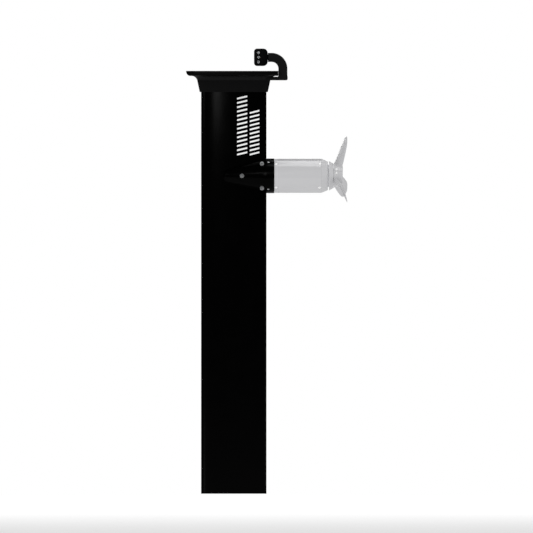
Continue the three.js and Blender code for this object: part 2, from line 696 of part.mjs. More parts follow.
// A third of the hub's barrel, which the blade stands on.
function bladeFoot() {
  const { fillet } = hub;
  const front = hub.split + GAP;
  const barrel = turnedOnX([
    [front, hub.core + GAP], [front, hubRadius(front)], [hub.neck, hub.barrel + 0.4],
    [hub.rear - fillet, hub.barrel], [hub.rear - fillet * 0.3, hub.barrel - fillet * 0.3],
    [hub.rear, hub.barrel - fillet], [hub.rear, hub.core + GAP],
  ], 30);
  const reach = 60;
  const half = Math.PI / blade.count;
  const apex = new THREE.Vector2(0, GAP / 2 / Math.sin(half));
  const corner = (angle, length) =>
    new THREE.Vector2(-Math.sin(angle) * length, Math.cos(angle) * length).add(apex);
  const sector = new THREE.Shape([apex, corner(half, reach), corner(0, 2 * reach), corner(-half, reach)]);
  const wedge = new THREE.ExtrudeGeometry(sector, { depth: 40, bevelEnabled: false });
  wedge.applyMatrix4(new THREE.Matrix4().makeBasis(
    new THREE.Vector3(0, 1, 0), new THREE.Vector3(0, 0, 1), new THREE.Vector3(1, 0, 0)));
  return barrel.intersect(solid(wedge.translate(hub.front, 0, 0)));
}

// One blade: its sections lie on cylinders round the shaft, from the root (0) to the tip (1).
const bladeChord = (t) => {
  const tipRound = Math.sqrt(1 - Math.max(0, (t - 0.6) / 0.4) ** 2.6);
  return (22.3 + 33.5 * t - 23.4 * t * t) * tipRound;
};
const bladePitch = (t) => THREE.MathUtils.lerp(130, 108, t);
const bladeMiddle = (t) => 200.8 + 20.8 * t - 2.5 * t * t;
const bladeSkew = (t) => THREE.MathUtils.degToRad(-8.5 * t + 13.5 * t * t);
const bladeThickness = (t) => THREE.MathUtils.lerp(5.2, 1.6, t);

function bladeSection(t) {
  const radius = blade.root + (blade.tip - blade.root) * t;
  const chord = bladeChord(t);
  const pitchAngle = Math.atan(bladePitch(t) / (2 * Math.PI * radius));
  const steps = 5;
  const section = [];
  for (let i = 0; i < 2 * steps; i += 1) {
    const turn = Math.PI * i / steps;
    const along = -Math.cos(turn) * chord / 2;
    const camber = chord * 0.03 * (1 - Math.cos(turn) ** 2);
    const out = Math.sin(turn) * bladeThickness(t) / 2 + camber;
    const x = bladeMiddle(t) + along * Math.sin(pitchAngle) - out * Math.cos(pitchAngle);
    const sweep = along * Math.cos(pitchAngle) + out * Math.sin(pitchAngle);
    section.push(new THREE.Vector3(...around(x, radius, bladeSkew(t) + sweep / radius)));
  }
  return section;
}

function bladeSolid() {
  const stations = [-0.02, 0.15, 0.35, 0.55, 0.7, 0.82, 0.91, 0.965, 0.993];
  const clearOfCone = turnedOnX([
    [hub.front - 10, 0], [hub.front - 10, hubRadius(hub.front - 10) + GAP],
    [hub.split + GAP, hubRadius(hub.split) + GAP], [hub.split + GAP, 0],
  ], 30);
  const body = bladeFoot().add(loft(stations.map(bladeSection)).subtract(clearOfCone));
  const hole = { ...bladeScrew, floor: 18.2, surface: 24, depth: 10 };
  return without(body, bladeScrewAngles.map((turn) => radialHole(bladeScrew.x, turn, hole)));
}

place(drive, 'propeller_hub', hubSolid(), paleAlloy);
const bladeShape = geometryOf(bladeSolid());
const bladeScrewShape = screwGeometry({
  radius: bladeScrew.radius, headRadius: bladeScrew.headRadius, headHeight: 1.7, length: 10,
  socket: 1.4,
});
bladeAngles.forEach((angle, i) => {
  place(drive, `propeller_blade_${i + 1}`, bladeShape, paleComposite).rotation.x = angle;
  bladeScrewAngles.forEach((turn, k) =>
    placeScrew(drive, `blade_screw_${2 * i + k + 1}`, bladeScrewShape,
      around(bladeScrew.x, bladeScrew.top, angle + turn), outwardAt(angle + turn)));
});
place(drive, 'propeller_nut', rod(nut.radius, [nut.front, 0, 0], [nut.rear, 0, 0], 6).subtract(
  rod(shaft.radius + GAP, [nut.front - 1, 0, 0], [nut.rear + 1, 0, 0], 20)), stainless);

// ---------------------------------------------------------------- phase wires and their gland

const glandHeights = [1, 0, -1].map((step) => step * wire.spacing);
place(drive, 'wire_gland', without(
  rod(gland.radius, [gland.front, 0, 0], [gland.rear, 0, 0], 18),
  glandHeights.map((z) => rod(gland.hole, [gland.front - 1, 0, z], [gland.rear + 1, 0, z])),
), rubber);

// Each wire runs forward from the motor, up its lane in the mast, aft through the channel, up the
// duct, round the elbow and into its terminal.
function wireRoute(i) {
  const lane = wire.lanes[i];
  const across = (1 - i) * wire.spread;
  const lowZ = axisZ + glandHeights[i];
  const highZ = (channel.bottom + channel.top) / 2;
  const endZ = terminalHeights[i];
  const elbow = (duct.innerRadius + duct.outerRadius) / 2;
  const riserX = duct.bendX + elbow;
  const { bend, topBend, riserBend } = wire;
  const path = new THREE.CurvePath();
  let here = new THREE.Vector3(75.3, 0, lowZ);
  const runTo = (x, y, z) => {
    const next = new THREE.Vector3(x, y, z);
    path.add(new THREE.LineCurve3(here, next));
    here = next;
  };
  const bendTo = (cornerX, cornerZ, x, z) => {
    const corner = new THREE.Vector3(cornerX, here.y, cornerZ);
    const next = new THREE.Vector3(x, here.y, z);
    path.add(new THREE.QuadraticBezierCurve3(here, corner, next));
    here = next;
  };
  runTo(lane + bend, 0, lowZ);
  bendTo(lane, lowZ, lane, lowZ + bend);
  runTo(lane, 0, well.bottom - 1);
  runTo(lane, across, highZ - topBend);
  bendTo(lane, highZ, lane + topBend, highZ);
  runTo(riserX - riserBend, across, highZ);
  bendTo(riserX, highZ, riserX, highZ + riserBend);
  runTo(riserX, across, duct.bendZ);
  const arcSteps = 6;
  for (let k = 1; k <= arcSteps; k += 1) {
    const angle = k / arcSteps * Math.PI / 2;
    runTo(duct.bendX + elbow * Math.cos(angle), across, duct.bendZ + elbow * Math.sin(angle));
  }
  for (const [x, inward, apart] of wire.fan) {
    runTo(x, across * (1 - inward), THREE.MathUtils.lerp(ductMiddleZ, endZ, apart));
  }
  return path;
}

function wireSolid(i) {
  const section = new THREE.Shape().absarc(0, 0, wire.radius, 0, 2 * Math.PI);
  return solid(new THREE.ExtrudeGeometry(section, {
    steps: wire.steps, curveSegments: 4, extrudePath: wireRoute(i),
  }));
}

wire.lanes.forEach((_, i) => place(machine, `phase_wire_${i + 1}`, wireSolid(i), silicone));

export default machine;
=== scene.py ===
"""Looks for an electric hydrofoil mast drive: a black mast, plate, duct and nacelle, and a pale
motor pod and propeller.

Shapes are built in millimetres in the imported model's frame and stored in metres.
+Z is up, +X points aft, -Y is the port side, and the pod's axis runs along X.
"""

from math import atan, atan2, cos, pi, radians, sin, sqrt, tan

import bmesh
import bpy
from mathutils import Matrix, Vector
from mathutils.bvhtree import BVHTree
from mathutils.interpolate import poly_3d_calc
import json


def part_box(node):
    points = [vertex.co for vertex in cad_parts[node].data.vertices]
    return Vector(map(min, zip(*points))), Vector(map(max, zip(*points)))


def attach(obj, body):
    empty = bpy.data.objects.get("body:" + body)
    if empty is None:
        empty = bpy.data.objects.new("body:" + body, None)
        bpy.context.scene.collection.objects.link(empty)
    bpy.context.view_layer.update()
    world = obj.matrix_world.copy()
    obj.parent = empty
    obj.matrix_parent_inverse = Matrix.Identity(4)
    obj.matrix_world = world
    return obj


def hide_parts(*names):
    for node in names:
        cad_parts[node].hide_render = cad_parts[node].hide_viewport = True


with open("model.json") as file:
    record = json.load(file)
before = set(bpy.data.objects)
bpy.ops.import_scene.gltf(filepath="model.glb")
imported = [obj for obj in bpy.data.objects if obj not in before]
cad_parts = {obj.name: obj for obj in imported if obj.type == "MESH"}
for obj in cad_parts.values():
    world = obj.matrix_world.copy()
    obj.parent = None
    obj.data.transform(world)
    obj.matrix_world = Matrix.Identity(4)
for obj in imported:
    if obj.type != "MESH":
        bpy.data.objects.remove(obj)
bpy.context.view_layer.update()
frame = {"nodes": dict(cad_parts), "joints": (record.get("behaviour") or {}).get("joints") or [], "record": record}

MM = 0.001  # metres in a millimetre
SEAM = 0.15  # half the gap between pieces that meet
PORT, STARBOARD = -1, 1
CREASE = radians(32)  # edges that turn by more than this are shaded sharp
FINE_CREASE = radians(25)  # for turned pieces with shallow edges


def box_mm(node):
    low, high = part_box(node)
    return low / MM, high / MM


PLATE_LOW, PLATE_HIGH = box_mm("board_plate")
MAST_LOW, MAST_HIGH = box_mm("mast_extrusion")
COLLAR_LOW, COLLAR_HIGH = box_mm("mast_collar")
DUCT_LOW, DUCT_HIGH = box_mm("cable_duct")
BLOCK_LOW, BLOCK_HIGH = box_mm("terminal_housing")
NACELLE_LOW, NACELLE_HIGH = box_mm("nacelle_port")
HOUSING_LOW, HOUSING_HIGH = box_mm("motor_housing")
HUB_LOW, HUB_HIGH = box_mm("propeller_hub")
AXIS_Z = frame["joints"][0]["pos_m"][2] / MM
POD = Vector((0, 0, AXIS_Z))


# ---- materials

NOISE_LOW, NOISE_HIGH = 0.3, 0.7  # the part of the noise's range that tone and wear follow
GRAIN_DEPTH = 0.0002


def add_node(tree, kind, values=None):
    """A new node in the tree, with values for some of its input sockets."""
    node = tree.nodes.new(kind)
    for socket, value in (values or {}).items():
        node.inputs[socket].default_value = value
    return node


def surface(name, base, roughness, metallic=0.0, specular=0.5, *, grain, tone, bump,
            wear=0.06, cloud=28, stretch=(1, 1, 1)):
    """A Principled material with procedural mottling, roughness variation and a fine bump.

    grain and cloud are the scales of the fine and the coarse noise, and stretch scales the fine
    one along x, y and z. tone is how much the base colour varies, wear how much the roughness
    varies, and bump how strong the grain's relief is.
    """
    material = bpy.data.materials.new(name)
    material.use_nodes = True
    tree = material.node_tree
    link = tree.links.new
    shader = tree.nodes["Principled BSDF"]
    shader.inputs["Metallic"].default_value = metallic
    shader.inputs["Specular IOR Level"].default_value = specular

    place = add_node(tree, "ShaderNodeTexCoord")
    stretched = add_node(tree, "ShaderNodeMapping", {"Scale": stretch})
    fine = add_node(tree, "ShaderNodeTexNoise", {"Scale": grain, "Detail": 4})
    coarse = add_node(tree, "ShaderNodeTexNoise", {"Scale": cloud, "Detail": 5, "Roughness": 0.65})
    link(place.outputs["Object"], stretched.inputs["Vector"])
    link(stretched.outputs["Vector"], fine.inputs["Vector"])
    link(place.outputs["Object"], coarse.inputs["Vector"])

    half_coarse = add_node(tree, "ShaderNodeMath", {1: 0.5})
    half_coarse.operation = "MULTIPLY"
    both = add_node(tree, "ShaderNodeMath", {1: 0.5})
    both.operation = "MULTIPLY_ADD"
    link(coarse.outputs["Fac"], half_coarse.inputs[0])
    link(fine.outputs["Fac"], both.inputs[0])
    link(half_coarse.outputs["Value"], both.inputs[2])

    colours = add_node(tree, "ShaderNodeValToRGB")
    ends = ((NOISE_LOW, 1 - tone), (NOISE_HIGH, 1 + tone))
    for element, (position, factor) in zip(colours.color_ramp.elements, ends):
        element.position = position
        element.color = (*[c * factor for c in base], 1)
    link(both.outputs["Value"], colours.inputs["Fac"])
    link(colours.outputs["Color"], shader.inputs["Base Color"])

    spread = add_node(tree, "ShaderNodeMapRange", {
        "From Min": NOISE_LOW, "From Max": NOISE_HIGH,
        "To Min": roughness - wear, "To Max": roughness + wear})
    link(both.outputs["Value"], spread.inputs["Value"])
    link(spread.outputs["Result"], shader.inputs["Roughness"])

    relief = add_node(tree, "ShaderNodeBump", {"Strength": bump, "Distance": GRAIN_DEPTH})
    link(fine.outputs["Fac"], relief.inputs["Height"])
    link(relief.outputs["Normal"], shader.inputs["Normal"])
    return material


def grey(value):
    return (value, value, value * 1.02)


ANODISED = surface("black_anodised", grey(0.0002), 0.22, specular=0.07,
                   stretch=(1, 1, 0.012), grain=2600, tone=0.35, wear=0.05, bump=0.03)
COLLAR_BLACK = surface("black_cast", grey(0.005), 0.6, specular=0.03,
                       grain=1500, tone=0.2, bump=0.3)
# A lighter black for the collar's flare: a painted reflection, the floor's sheen on its downward faces at a
# grazing angle.
FLARE_PAINTED_SHEEN = surface("black_cast_painted_sheen", grey(0.0085), 0.5, specular=0.06,
                      grain=1500, tone=0.2, bump=0.2)
PLATE_BLACK = surface("black_plate", grey(0.0012), 0.3, specular=0.06,
                      grain=1800, tone=0.2, bump=0.08)
NACELLE_BLACK = surface("black_nacelle", grey(0.0004), 0.2, specular=0.04,
                        grain=1500, tone=0.25, wear=0.04, bump=0.04)
DUCT_BLACK = surface("black_duct", grey(0.0078), 0.55, specular=0.04,
                     grain=1300, tone=0.08, bump=0.25)
BLOCK_BLACK = surface("black_block", grey(0.0012), 0.4, specular=0.05,
                      grain=1300, tone=0.15, bump=0.25)
PALE_ALLOY = surface("pale_alloy", grey(0.568), 0.38, specular=0.35,
                     grain=1900, tone=0.008, wear=0.05, bump=0.02)
PALE_POLISHED = surface("pale_polished", grey(0.566), 0.16, specular=0.5,
                        stretch=(1, 0.2, 0.2), grain=1900, tone=0.008, wear=0.03, bump=0.02)
# A near-white pale for the walls round the groove between the tail and the hub: painted light, lifting the shade
# that falls in the groove.
GROOVE_PAINTED_LIGHT = surface("pale_groove_painted_light", grey(0.93), 0.4, specular=0.3,
                    grain=1900, tone=0.01, wear=0.05, bump=0.05)
PALE_COMPOSITE = surface("pale_composite", grey(0.568), 0.45, specular=0.35,
                         grain=2200, tone=0.012, wear=0.05, bump=0.02)
BRIGHT_STEEL = surface("bright_steel", (0.95, 0.95, 0.95), 0.35, metallic=0.12, specular=1.0,
                       grain=2400, tone=0.03, wear=0.05, bump=0.05)
STAINLESS = surface("stainless", (0.52, 0.53, 0.54), 0.3, metallic=0.6,
                    grain=2400, tone=0.06, wear=0.06, bump=0.1)
STEEL = surface("ground_steel", (0.42, 0.43, 0.44), 0.32, metallic=1.0,
                stretch=(0.06, 1, 1), grain=2200, tone=0.08, wear=0.06, bump=0.12)
BRASS = surface("brass", (0.55, 0.39, 0.16), 0.3, metallic=1.0,
                stretch=(0.08, 1, 1), grain=2200, tone=0.08, wear=0.07, bump=0.12)
COPPER = surface("copper_winding", (0.45, 0.17, 0.08), 0.4, metallic=0.8,
                 stretch=(1, 0.2, 0.2), grain=1600, tone=0.2, wear=0.08, bump=0.5)
RUBBER = surface("rubber", grey(0.006), 0.8, specular=0.3,
                 grain=1200, tone=0.15, bump=0.3)
SILICONE = surface("silicone", grey(0.008), 0.6, specular=0.4,
                   grain=1100, tone=0.12, bump=0.15)
WHITE_PRINT = surface("white_print", (0.97, 0.97, 0.97), 0.5, specular=0.3,
                      grain=1500, tone=0.01, bump=0.05)
FLOOR_PAPER = surface("floor_paper", (0.78, 0.78, 0.78), 0.9, specular=0.05,
                      grain=240, cloud=3, tone=0.01, wear=0.02, bump=0.02)

SLOT_MATERIALS = {
    "black_paint": NACELLE_BLACK, "black_anodised": ANODISED, "black_plastic": DUCT_BLACK,
    "pale_alloy": PALE_ALLOY, "pale_composite": PALE_COMPOSITE, "stainless": STAINLESS,
    "brass": BRASS, "steel": STEEL, "copper": COPPER, "rubber": RUBBER, "silicone": SILICONE,
}


# ---- mesh building

WELD = 1e-4  # points closer than this many millimetres are one
SIDE_SHARE = 0.45  # the most of a side that the curve at one of its corners takes up
MITRE_LIMIT = 0.3  # keeps a grown outline's sharp corners short
ON_SURFACE = 2e-6  # metres
SAME_FACING = 0.99  # the least cosine between two normals of one surface
CUT_CREASE = 1.2  # after a cut, edges are shaded sharp from this many times the crease


def store(name, bm, material, crease=CREASE):
    """A new object from a bmesh in millimetres, shaded smooth except over creases."""
    bmesh.ops.remove_doubles(bm, verts=bm.verts, dist=WELD)
    bmesh.ops.recalc_face_normals(bm, faces=bm.faces)
    bmesh.ops.scale(bm, vec=(MM, MM, MM), verts=bm.verts)
    mesh = bpy.data.meshes.new(name)
    bm.to_mesh(mesh)
    bm.free()
    mesh.shade_smooth()
    mesh.set_sharp_from_angle(angle=crease)
    mesh.materials.append(material)
    piece = bpy.data.objects.new(name, mesh)
    bpy.context.scene.collection.objects.link(piece)
    return piece


def skin(rows, closed_ends=True):
    """A bmesh over rows of equally many points, each row a closed ring."""
    bm = bmesh.new()
    rings = [[bm.verts.new(point) for point in row] for row in rows]
    count = len(rings[0])
    for first, second in zip(rings, rings[1:]):
        for i in range(count):
            k = (i + 1) % count
            bm.faces.new((first[i], first[k], second[k], second[i]))
    if closed_ends:
        bm.faces.new(rings[0])
        bm.faces.new(list(reversed(rings[-1])))
    return bm


def circle(radius, z=0.0, steps=48, centre=(0, 0)):
    """A level ring of points."""
    return [Vector((centre[0] + radius * cos(2 * pi * i / steps),
                    centre[1] + radius * sin(2 * pi * i / steps), z))
            for i in range(steps)]


def quarter(steps):
    """Angles from nought to a right angle."""
    return [pi / 2 * i / steps for i in range(steps + 1)]


def turned(profile, steps=96, centre=POD):
    """A profile of (x, radius) turned round the pod's axis, or a closed ring of it."""
    bm = bmesh.new()
    ring_shaped = profile[0][1] > 0
    rows = []
    for x, radius in profile:
        if radius == 0:
            rows.append([bm.verts.new(centre + Vector((x, 0, 0)))])
            continue
        rows.append([bm.verts.new(centre + Vector(around(x, radius, 2 * pi * i / steps)))
                     for i in range(steps)])
    if ring_shaped:
        rows.append(rows[0])
    for first, second in zip(rows, rows[1:]):
        for i in range(steps):
            k = (i + 1) % steps
            corners = [first[i % len(first)], first[k % len(first)],
                       second[k % len(second)], second[i % len(second)]]
            bm.faces.new(list(dict.fromkeys(corners)))
    return bm


def around(x, radius, angle):
    """A point at a radius round the x axis: angle 0 is straight up, and it turns towards port."""
    return (x, -radius * sin(angle), radius * cos(angle))


def rounded(profile, radius, steps=4):
    """The profile with each inner corner replaced by a short curve."""
    points = [profile[0]]
    for before, corner, after in zip(profile, profile[1:], profile[2:]):
        here = Vector(corner)
        back, on = Vector(before) - here, Vector(after) - here
        reach = min(radius, back.length * SIDE_SHARE, on.length * SIDE_SHARE)
        start, end = here + back.normalized() * reach, here + on.normalized() * reach
        for i in range(steps + 1):
            t = i / steps
            points.append(tuple(start * (1 - t) ** 2 + here * 2 * t * (1 - t) + end * t ** 2))
    points.append(profile[-1])
    return points


def arc(centre, radius, start, end, steps=10):
    """Points on a circle, angles in degrees."""
    return [(centre[0] + radius * cos(radians(start + (end - start) * i / steps)),
             centre[1] + radius * sin(radians(start + (end - start) * i / steps)))
            for i in range(steps + 1)]


def grown(outline, amount):
    """The closed outline moved outwards by an amount, corners kept sharp."""
    count = len(outline)
    area = sum(outline[i][0] * outline[(i + 1) % count][1]
               - outline[(i + 1) % count][0] * outline[i][1] for i in range(count))
    sense = 1 if area > 0 else -1
    result = []
    for i in range(count):
        here = Vector(outline[i])
        back = (here - Vector(outline[i - 1])).normalized()
        on = (Vector(outline[(i + 1) % count]) - here).normalized()
        first, second = Vector((back.y, -back.x)), Vector((on.y, -on.x))
        mitre = (first + second) / max(MITRE_LIMIT, 1 + first.dot(second))
        result.append(tuple(here + mitre * amount * sense))
    return result


def slab(outline, low, high, place, edge=0.0, lower_edge=None, steps=4):
    """An outline extruded between two heights, its rims rounded.

    place(u, v, height) gives a point of it.
    """
    rows = []
    bottom = edge if lower_edge is None else lower_edge
    for i in range(steps + 1 if bottom else 1):
        angle = pi / 2 * i / steps if bottom else pi / 2
        ring = grown(outline, -bottom * (1 - sin(angle)))
        rows.append([place(u, v, low + bottom * (1 - cos(angle))) for u, v in ring])
    for i in range(steps + 1 if edge else 1):
        angle = pi / 2 * (1 - i / steps) if edge else pi / 2
        ring = grown(outline, -edge * (1 - sin(angle)))
        rows.append([place(u, v, high - edge * (1 - cos(angle))) for u, v in ring])
    return skin(rows)


def upright(outline, low, high, **edges):
    return slab(outline, low, high, lambda u, v, h: (u, v, h), **edges)


def sideways(outline, half_width, edge=0.0, middle=0.0):
    return slab(outline, middle - half_width, middle + half_width, lambda u, v, h: (u, h, v),
                edge=edge)


def cuboid(low, high):
    outline = [(low[0], low[1]), (high[0], low[1]), (high[0], high[1]), (low[0], high[1])]
    return upright(outline, low[2], high[2])


def rod(radius, start, end, steps=40):
    """A round bar between two points."""
    start, end = Vector(start), Vector(end)
    turn = (end - start).to_track_quat("Z", "Y")
    return skin([[place + turn @ point for point in circle(radius, steps=steps)]
                 for place in (start, end)])


def apply_modifiers(piece):
    graph = bpy.context.evaluated_depsgraph_get()
    finished = bpy.data.meshes.new_from_object(piece.evaluated_get(graph))
    rough = piece.data
    piece.modifiers.clear()
    piece.data = finished
    finished.name = piece.name
    bpy.data.meshes.remove(rough)


def restore_normals(mesh, sources):
    """Faces that still lie on an old surface get back the smooth normals that it had."""
    normals = [Vector(normal.vector) for normal in mesh.corner_normals]
    for source in sources:
        corners = [vertex.co for vertex in source.vertices]
        tree = BVHTree.FromPolygons(corners, [tuple(face.vertices) for face in source.polygons])
        smooth = [Vector(normal.vector) for normal in source.corner_normals]
        for face in mesh.polygons:
            _, normal, index, distance = tree.find_nearest(face.center)
            if distance > ON_SURFACE or normal.dot(face.normal) < SAME_FACING:
                continue
            old = source.polygons[index]
            outline = [corners[vertex] for vertex in old.vertices]
            for loop in face.loop_indices:
                point = mesh.vertices[mesh.loops[loop].vertex_index].co
                shares = zip(old.loop_indices, poly_3d_calc(outline, point))
                blend = sum((smooth[k] * share for k, share in shares), Vector())
                normals[loop] = blend.normalized()
    mesh.normals_split_custom_set(normals)


def add_boolean(piece, other, operation):
    change = piece.modifiers.new(other.name, "BOOLEAN")
    change.object, change.operation, change.solver = other, operation, "EXACT"


def carve(piece, cutters, operation="DIFFERENCE", soft=0.0, crease=CREASE, joined=None):
    """Cuts the cutters, bmeshes in millimetres, out of the piece or keeps what they share.

    soft rounds the sharp edges by that many millimetres, so that they catch light.
    joined is another piece that is merged into this one before the cuts.
    """
    sources = [piece.data.copy()]
    if joined:
        sources.append(joined.data.copy())
        add_boolean(piece, joined, "UNION")
    tools = []
    for number, cutter in enumerate(cutters):
        tools.append(store(f"cutter_{number}", cutter, piece.data.materials[0]))
        add_boolean(piece, tools[-1], operation)
    apply_modifiers(piece)
    if soft:
        round_off = piece.modifiers.new("edges", "BEVEL")
        round_off.width, round_off.segments = soft * MM, 2
        round_off.limit_method, round_off.angle_limit = "ANGLE", crease
        apply_modifiers(piece)
    piece.data.set_sharp_from_angle(angle=crease * CUT_CREASE)
    restore_normals(piece.data, sources)
    for mesh in sources + [tool.data for tool in tools]:
        bpy.data.meshes.remove(mesh)


def paint(piece, material, chosen):
    """Gives the material to the faces that chosen(centre in millimetres, normal) picks."""
    piece.data.materials.append(material)
    index = len(piece.data.materials) - 1
    for face in piece.data.polygons:
        if chosen(face.center / MM, face.normal):
            face.material_index = index


def settle(piece, body, slot, *nodes):
    """The finished piece rides on its body and stands for its CAD nodes."""
    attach(piece, body)
    if nodes:
        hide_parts(*nodes)


# ---- screws

SCREW_STEPS = 48
SEAT_REACH = 12.0  # a seat is cut this far outwards, past every surface over it


def hexagon_reach(corner, angle):
    """How far a hexagon whose corners are that far out reaches at an angle."""
    within = (angle + pi / 6) % (pi / 3) - pi / 6
    return corner * cos(pi / 6) / cos(within)


def screw_rows(head, height, shank, length, socket, dome=0.0, cone=False):
    """A socket screw's rings in its own frame, from the shank's end up and into the socket.

    head, shank and socket are radii. The head's top is at z = 0, dome is how far it is crowned,
    and cone gives the head a countersunk underside.
    """
    def ring(radius, z):
        return circle(radius, z, SCREW_STEPS)

    def hexagon(corner, z):
        points = []
        for i in range(SCREW_STEPS):
            angle = 2 * pi * i / SCREW_STEPS
            reach = hexagon_reach(corner, angle)
            points.append(Vector((reach * cos(angle), reach * sin(angle), z)))
        return points

    bevel = min(0.35, height * 0.2)
    rim = -0.25 if cone else -height
    body = [ring(shank * 0.7, -length), ring(shank, -length + shank * 0.4), ring(shank, -height)]
    side = [ring(head - 0.1, rim), ring(head, rim + 0.12), ring(head, -bevel - dome)]
    face = [ring(head - bevel * 0.4, -bevel * 0.35 - dome), ring(head - bevel, -dome),
            ring((head + socket) / 2, -dome * 0.3)]
    drive = [hexagon(socket + 0.15, 0), hexagon(socket, -0.15), hexagon(socket, -height * 0.62),
             ring(socket * 0.3, -height * 0.75)]
    return body + side + face + drive


def add_screw(name, top, outward, body, node, metal=STAINLESS, **sizes):
    turn = Vector(outward).to_track_quat("Z", "X")
    rows = [[Vector(top) + turn @ point for point in row] for row in screw_rows(**sizes)]
    piece = store(name, skin(rows), metal, crease=FINE_CREASE)
    settle(piece, body, "stainless", node)


def screw_seat(top, outward, radius, depth):
    """The pocket that a screw's head sits in."""
    top, outward = Vector(top), Vector(outward).normalized()
    return rod(radius, top + outward * SEAT_REACH, top - outward * depth)


def radial_screws(node, count, height):
    """The head tops, that far out, and outward directions of a ring of screws round the pod."""
    frames = []
    for number in range(1, count + 1):
        low, high = box_mm(f"{node}_{number}")
        middle = (low + high) / 2 - POD
        outward = Vector((0, middle.y, middle.z)).normalized()
        frames.append((Vector((middle.x, 0, 0)) + POD + outward * height, outward))
    return frames


# ---- the mast's section

FOIL_FRONT, FOIL_REAR = MAST_LOW.x, MAST_HIGH.x
FOIL_THICKNESS = 19.0
FOIL_BLUNT = 0.6  # what the blunt rear edge adds to half the thickness
SLOPE_STEP = 0.01
MAST_WALL = 2.3


def foil_half(x):
    """Half the mast's thickness at x, after the usual four-digit symmetric section."""
    chord = FOIL_REAR - FOIL_FRONT
    s = min(1.0, max(0.0, (x - FOIL_FRONT) / chord))
    symmetric = (0.2969 * sqrt(s) - 0.126 * s - 0.3516 * s ** 2 + 0.2843 * s ** 3
                 - 0.1015 * s ** 4)
    return 5 * FOIL_THICKNESS * symmetric + FOIL_BLUNT * s


def foil_outline(offset, steps=44):
    """The section's outline grown by an offset, with a rounded trailing edge."""
    side = [(FOIL_FRONT - offset, 0.0)]
    for i in range(1, steps + 1):
        x = FOIL_FRONT + (FOIL_REAR - FOIL_FRONT) * (1 - cos(pi * i / steps)) / 2
        slope = (foil_half(x) - foil_half(x - SLOPE_STEP)) / SLOPE_STEP
        lean = atan2(1, -slope)
        side.append((x + offset * cos(lean), foil_half(x) + offset * sin(lean)))
    arc_steps = 8 if offset > 0 else 0
    for i in range(1, arc_steps + 1):
        angle = lean * (1 - i / arc_steps)
        side.append((FOIL_REAR + offset * cos(angle),
                     foil_half(FOIL_REAR) + offset * sin(angle)))
    return side + [(x, -y) for x, y in reversed(side[1:])]


def cavity_outline(front, rear, shrink=0.0, steps=10):
    """A hollow inside the mast's wall, or a block shrunk to fit it."""
    start, length = front + shrink, rear - front - 2 * shrink
    upper = []
    for i in range(steps + 1):
        x = start + length * i / steps
        upper.append((x, foil_half(x) - MAST_WALL - shrink))
    return upper + [(x, -y) for x, y in reversed(upper)]


# ---- plate, collar and mast

PLATE_CORNER = 22.0
PLATE_EDGE = 4.5  # the radius of its rounded lower edge
PLATE_NOSE_LENGTH, PLATE_NOSE_HEIGHT = 7.7, 9.0
BOARD_HOLE, BOARD_HOLE_HEAD, BOARD_HOLE_DEPTH = 4.5, 7.5, 4.0
HOLE_X, HOLE_Y = 72.5, 45.0
SCREW_HOLE, CONE_LOW, CONE_HIGH, HEAD_ROOM = 4.3, -4.7, -0.6, 0.35


def make_plate():
    x, y = PLATE_HIGH.x + PLATE_EDGE - PLATE_CORNER, PLATE_HIGH.y - PLATE_CORNER
    outline = []
    for i, (along, across) in enumerate(((x, y), (-x, y), (-x, -y), (x, -y))):
        outline += arc((along, across), PLATE_CORNER, 90 * i, 90 * i + 90)
    bottom, top = PLATE_LOW.z, PLATE_HIGH.z
    plate = store("plate", upright(outline, bottom, top, lower_edge=PLATE_EDGE), PLATE_BLACK)
    nose = [(PLATE_LOW.x + PLATE_NOSE_LENGTH - PLATE_NOSE_LENGTH * sin(turn),
             bottom + PLATE_NOSE_HEIGHT - PLATE_NOSE_HEIGHT * cos(turn))
            for turn in quarter(12)]
    profile = [(PLATE_LOW.x, top + 1), (PLATE_HIGH.x, top + 1), (PLATE_HIGH.x, bottom - 1)]
    profile += [(nose[0][0], bottom - 1)] + nose
    carve(plate, [sideways(profile, PLATE_HIGH.y + 2)], "INTERSECT")
    below = bottom - 2
    cutters = []
    for hole_x in (-HOLE_X, HOLE_X):
        for hole_y in (-HOLE_Y, HOLE_Y):
            cutters.append(rod(BOARD_HOLE, (hole_x, hole_y, 2), (hole_x, hole_y, below)))
            cutters.append(rod(BOARD_HOLE_HEAD, (hole_x, hole_y, bottom + BOARD_HOLE_DEPTH),
                               (hole_x, hole_y, below)))
    for number in (1, 2):
        low, high = box_mm(f"plate_screw_{number}")
        middle = (low + high) / 2
        head = (high.x - low.x) / 2 + HEAD_ROOM
        cutters.append(skin([circle(radius, z, centre=(middle.x, 0)) for radius, z in
                             ((SCREW_HOLE, below), (SCREW_HOLE, CONE_LOW), (head, CONE_HIGH),
                              (head, 2))]))
    carve(plate, cutters, soft=0.35)
    settle(plate, "root", "black_paint", "board_plate")


COLLAR_OFFSET = 2.7
COLLAR_DRAFT = radians(12)
COLLAR_RIM = ((-0.5, 0), (-0.1, 0.15), (0.1, 0.6))  # its lower rim's steps outwards and up
FLARE_START = -18.5
WIRES_FRONT, WIRES_REAR = 8.0, 34.0  # the mast's rear cavity, where the wires run
WIRES_LOW, WIRES_HALF = -32.0, 7.6  # the room inside the collar, where they leave it
PASSAGE_LOW, PASSAGE_HIGH = -17.1, -11.9  # their way back from there into the duct


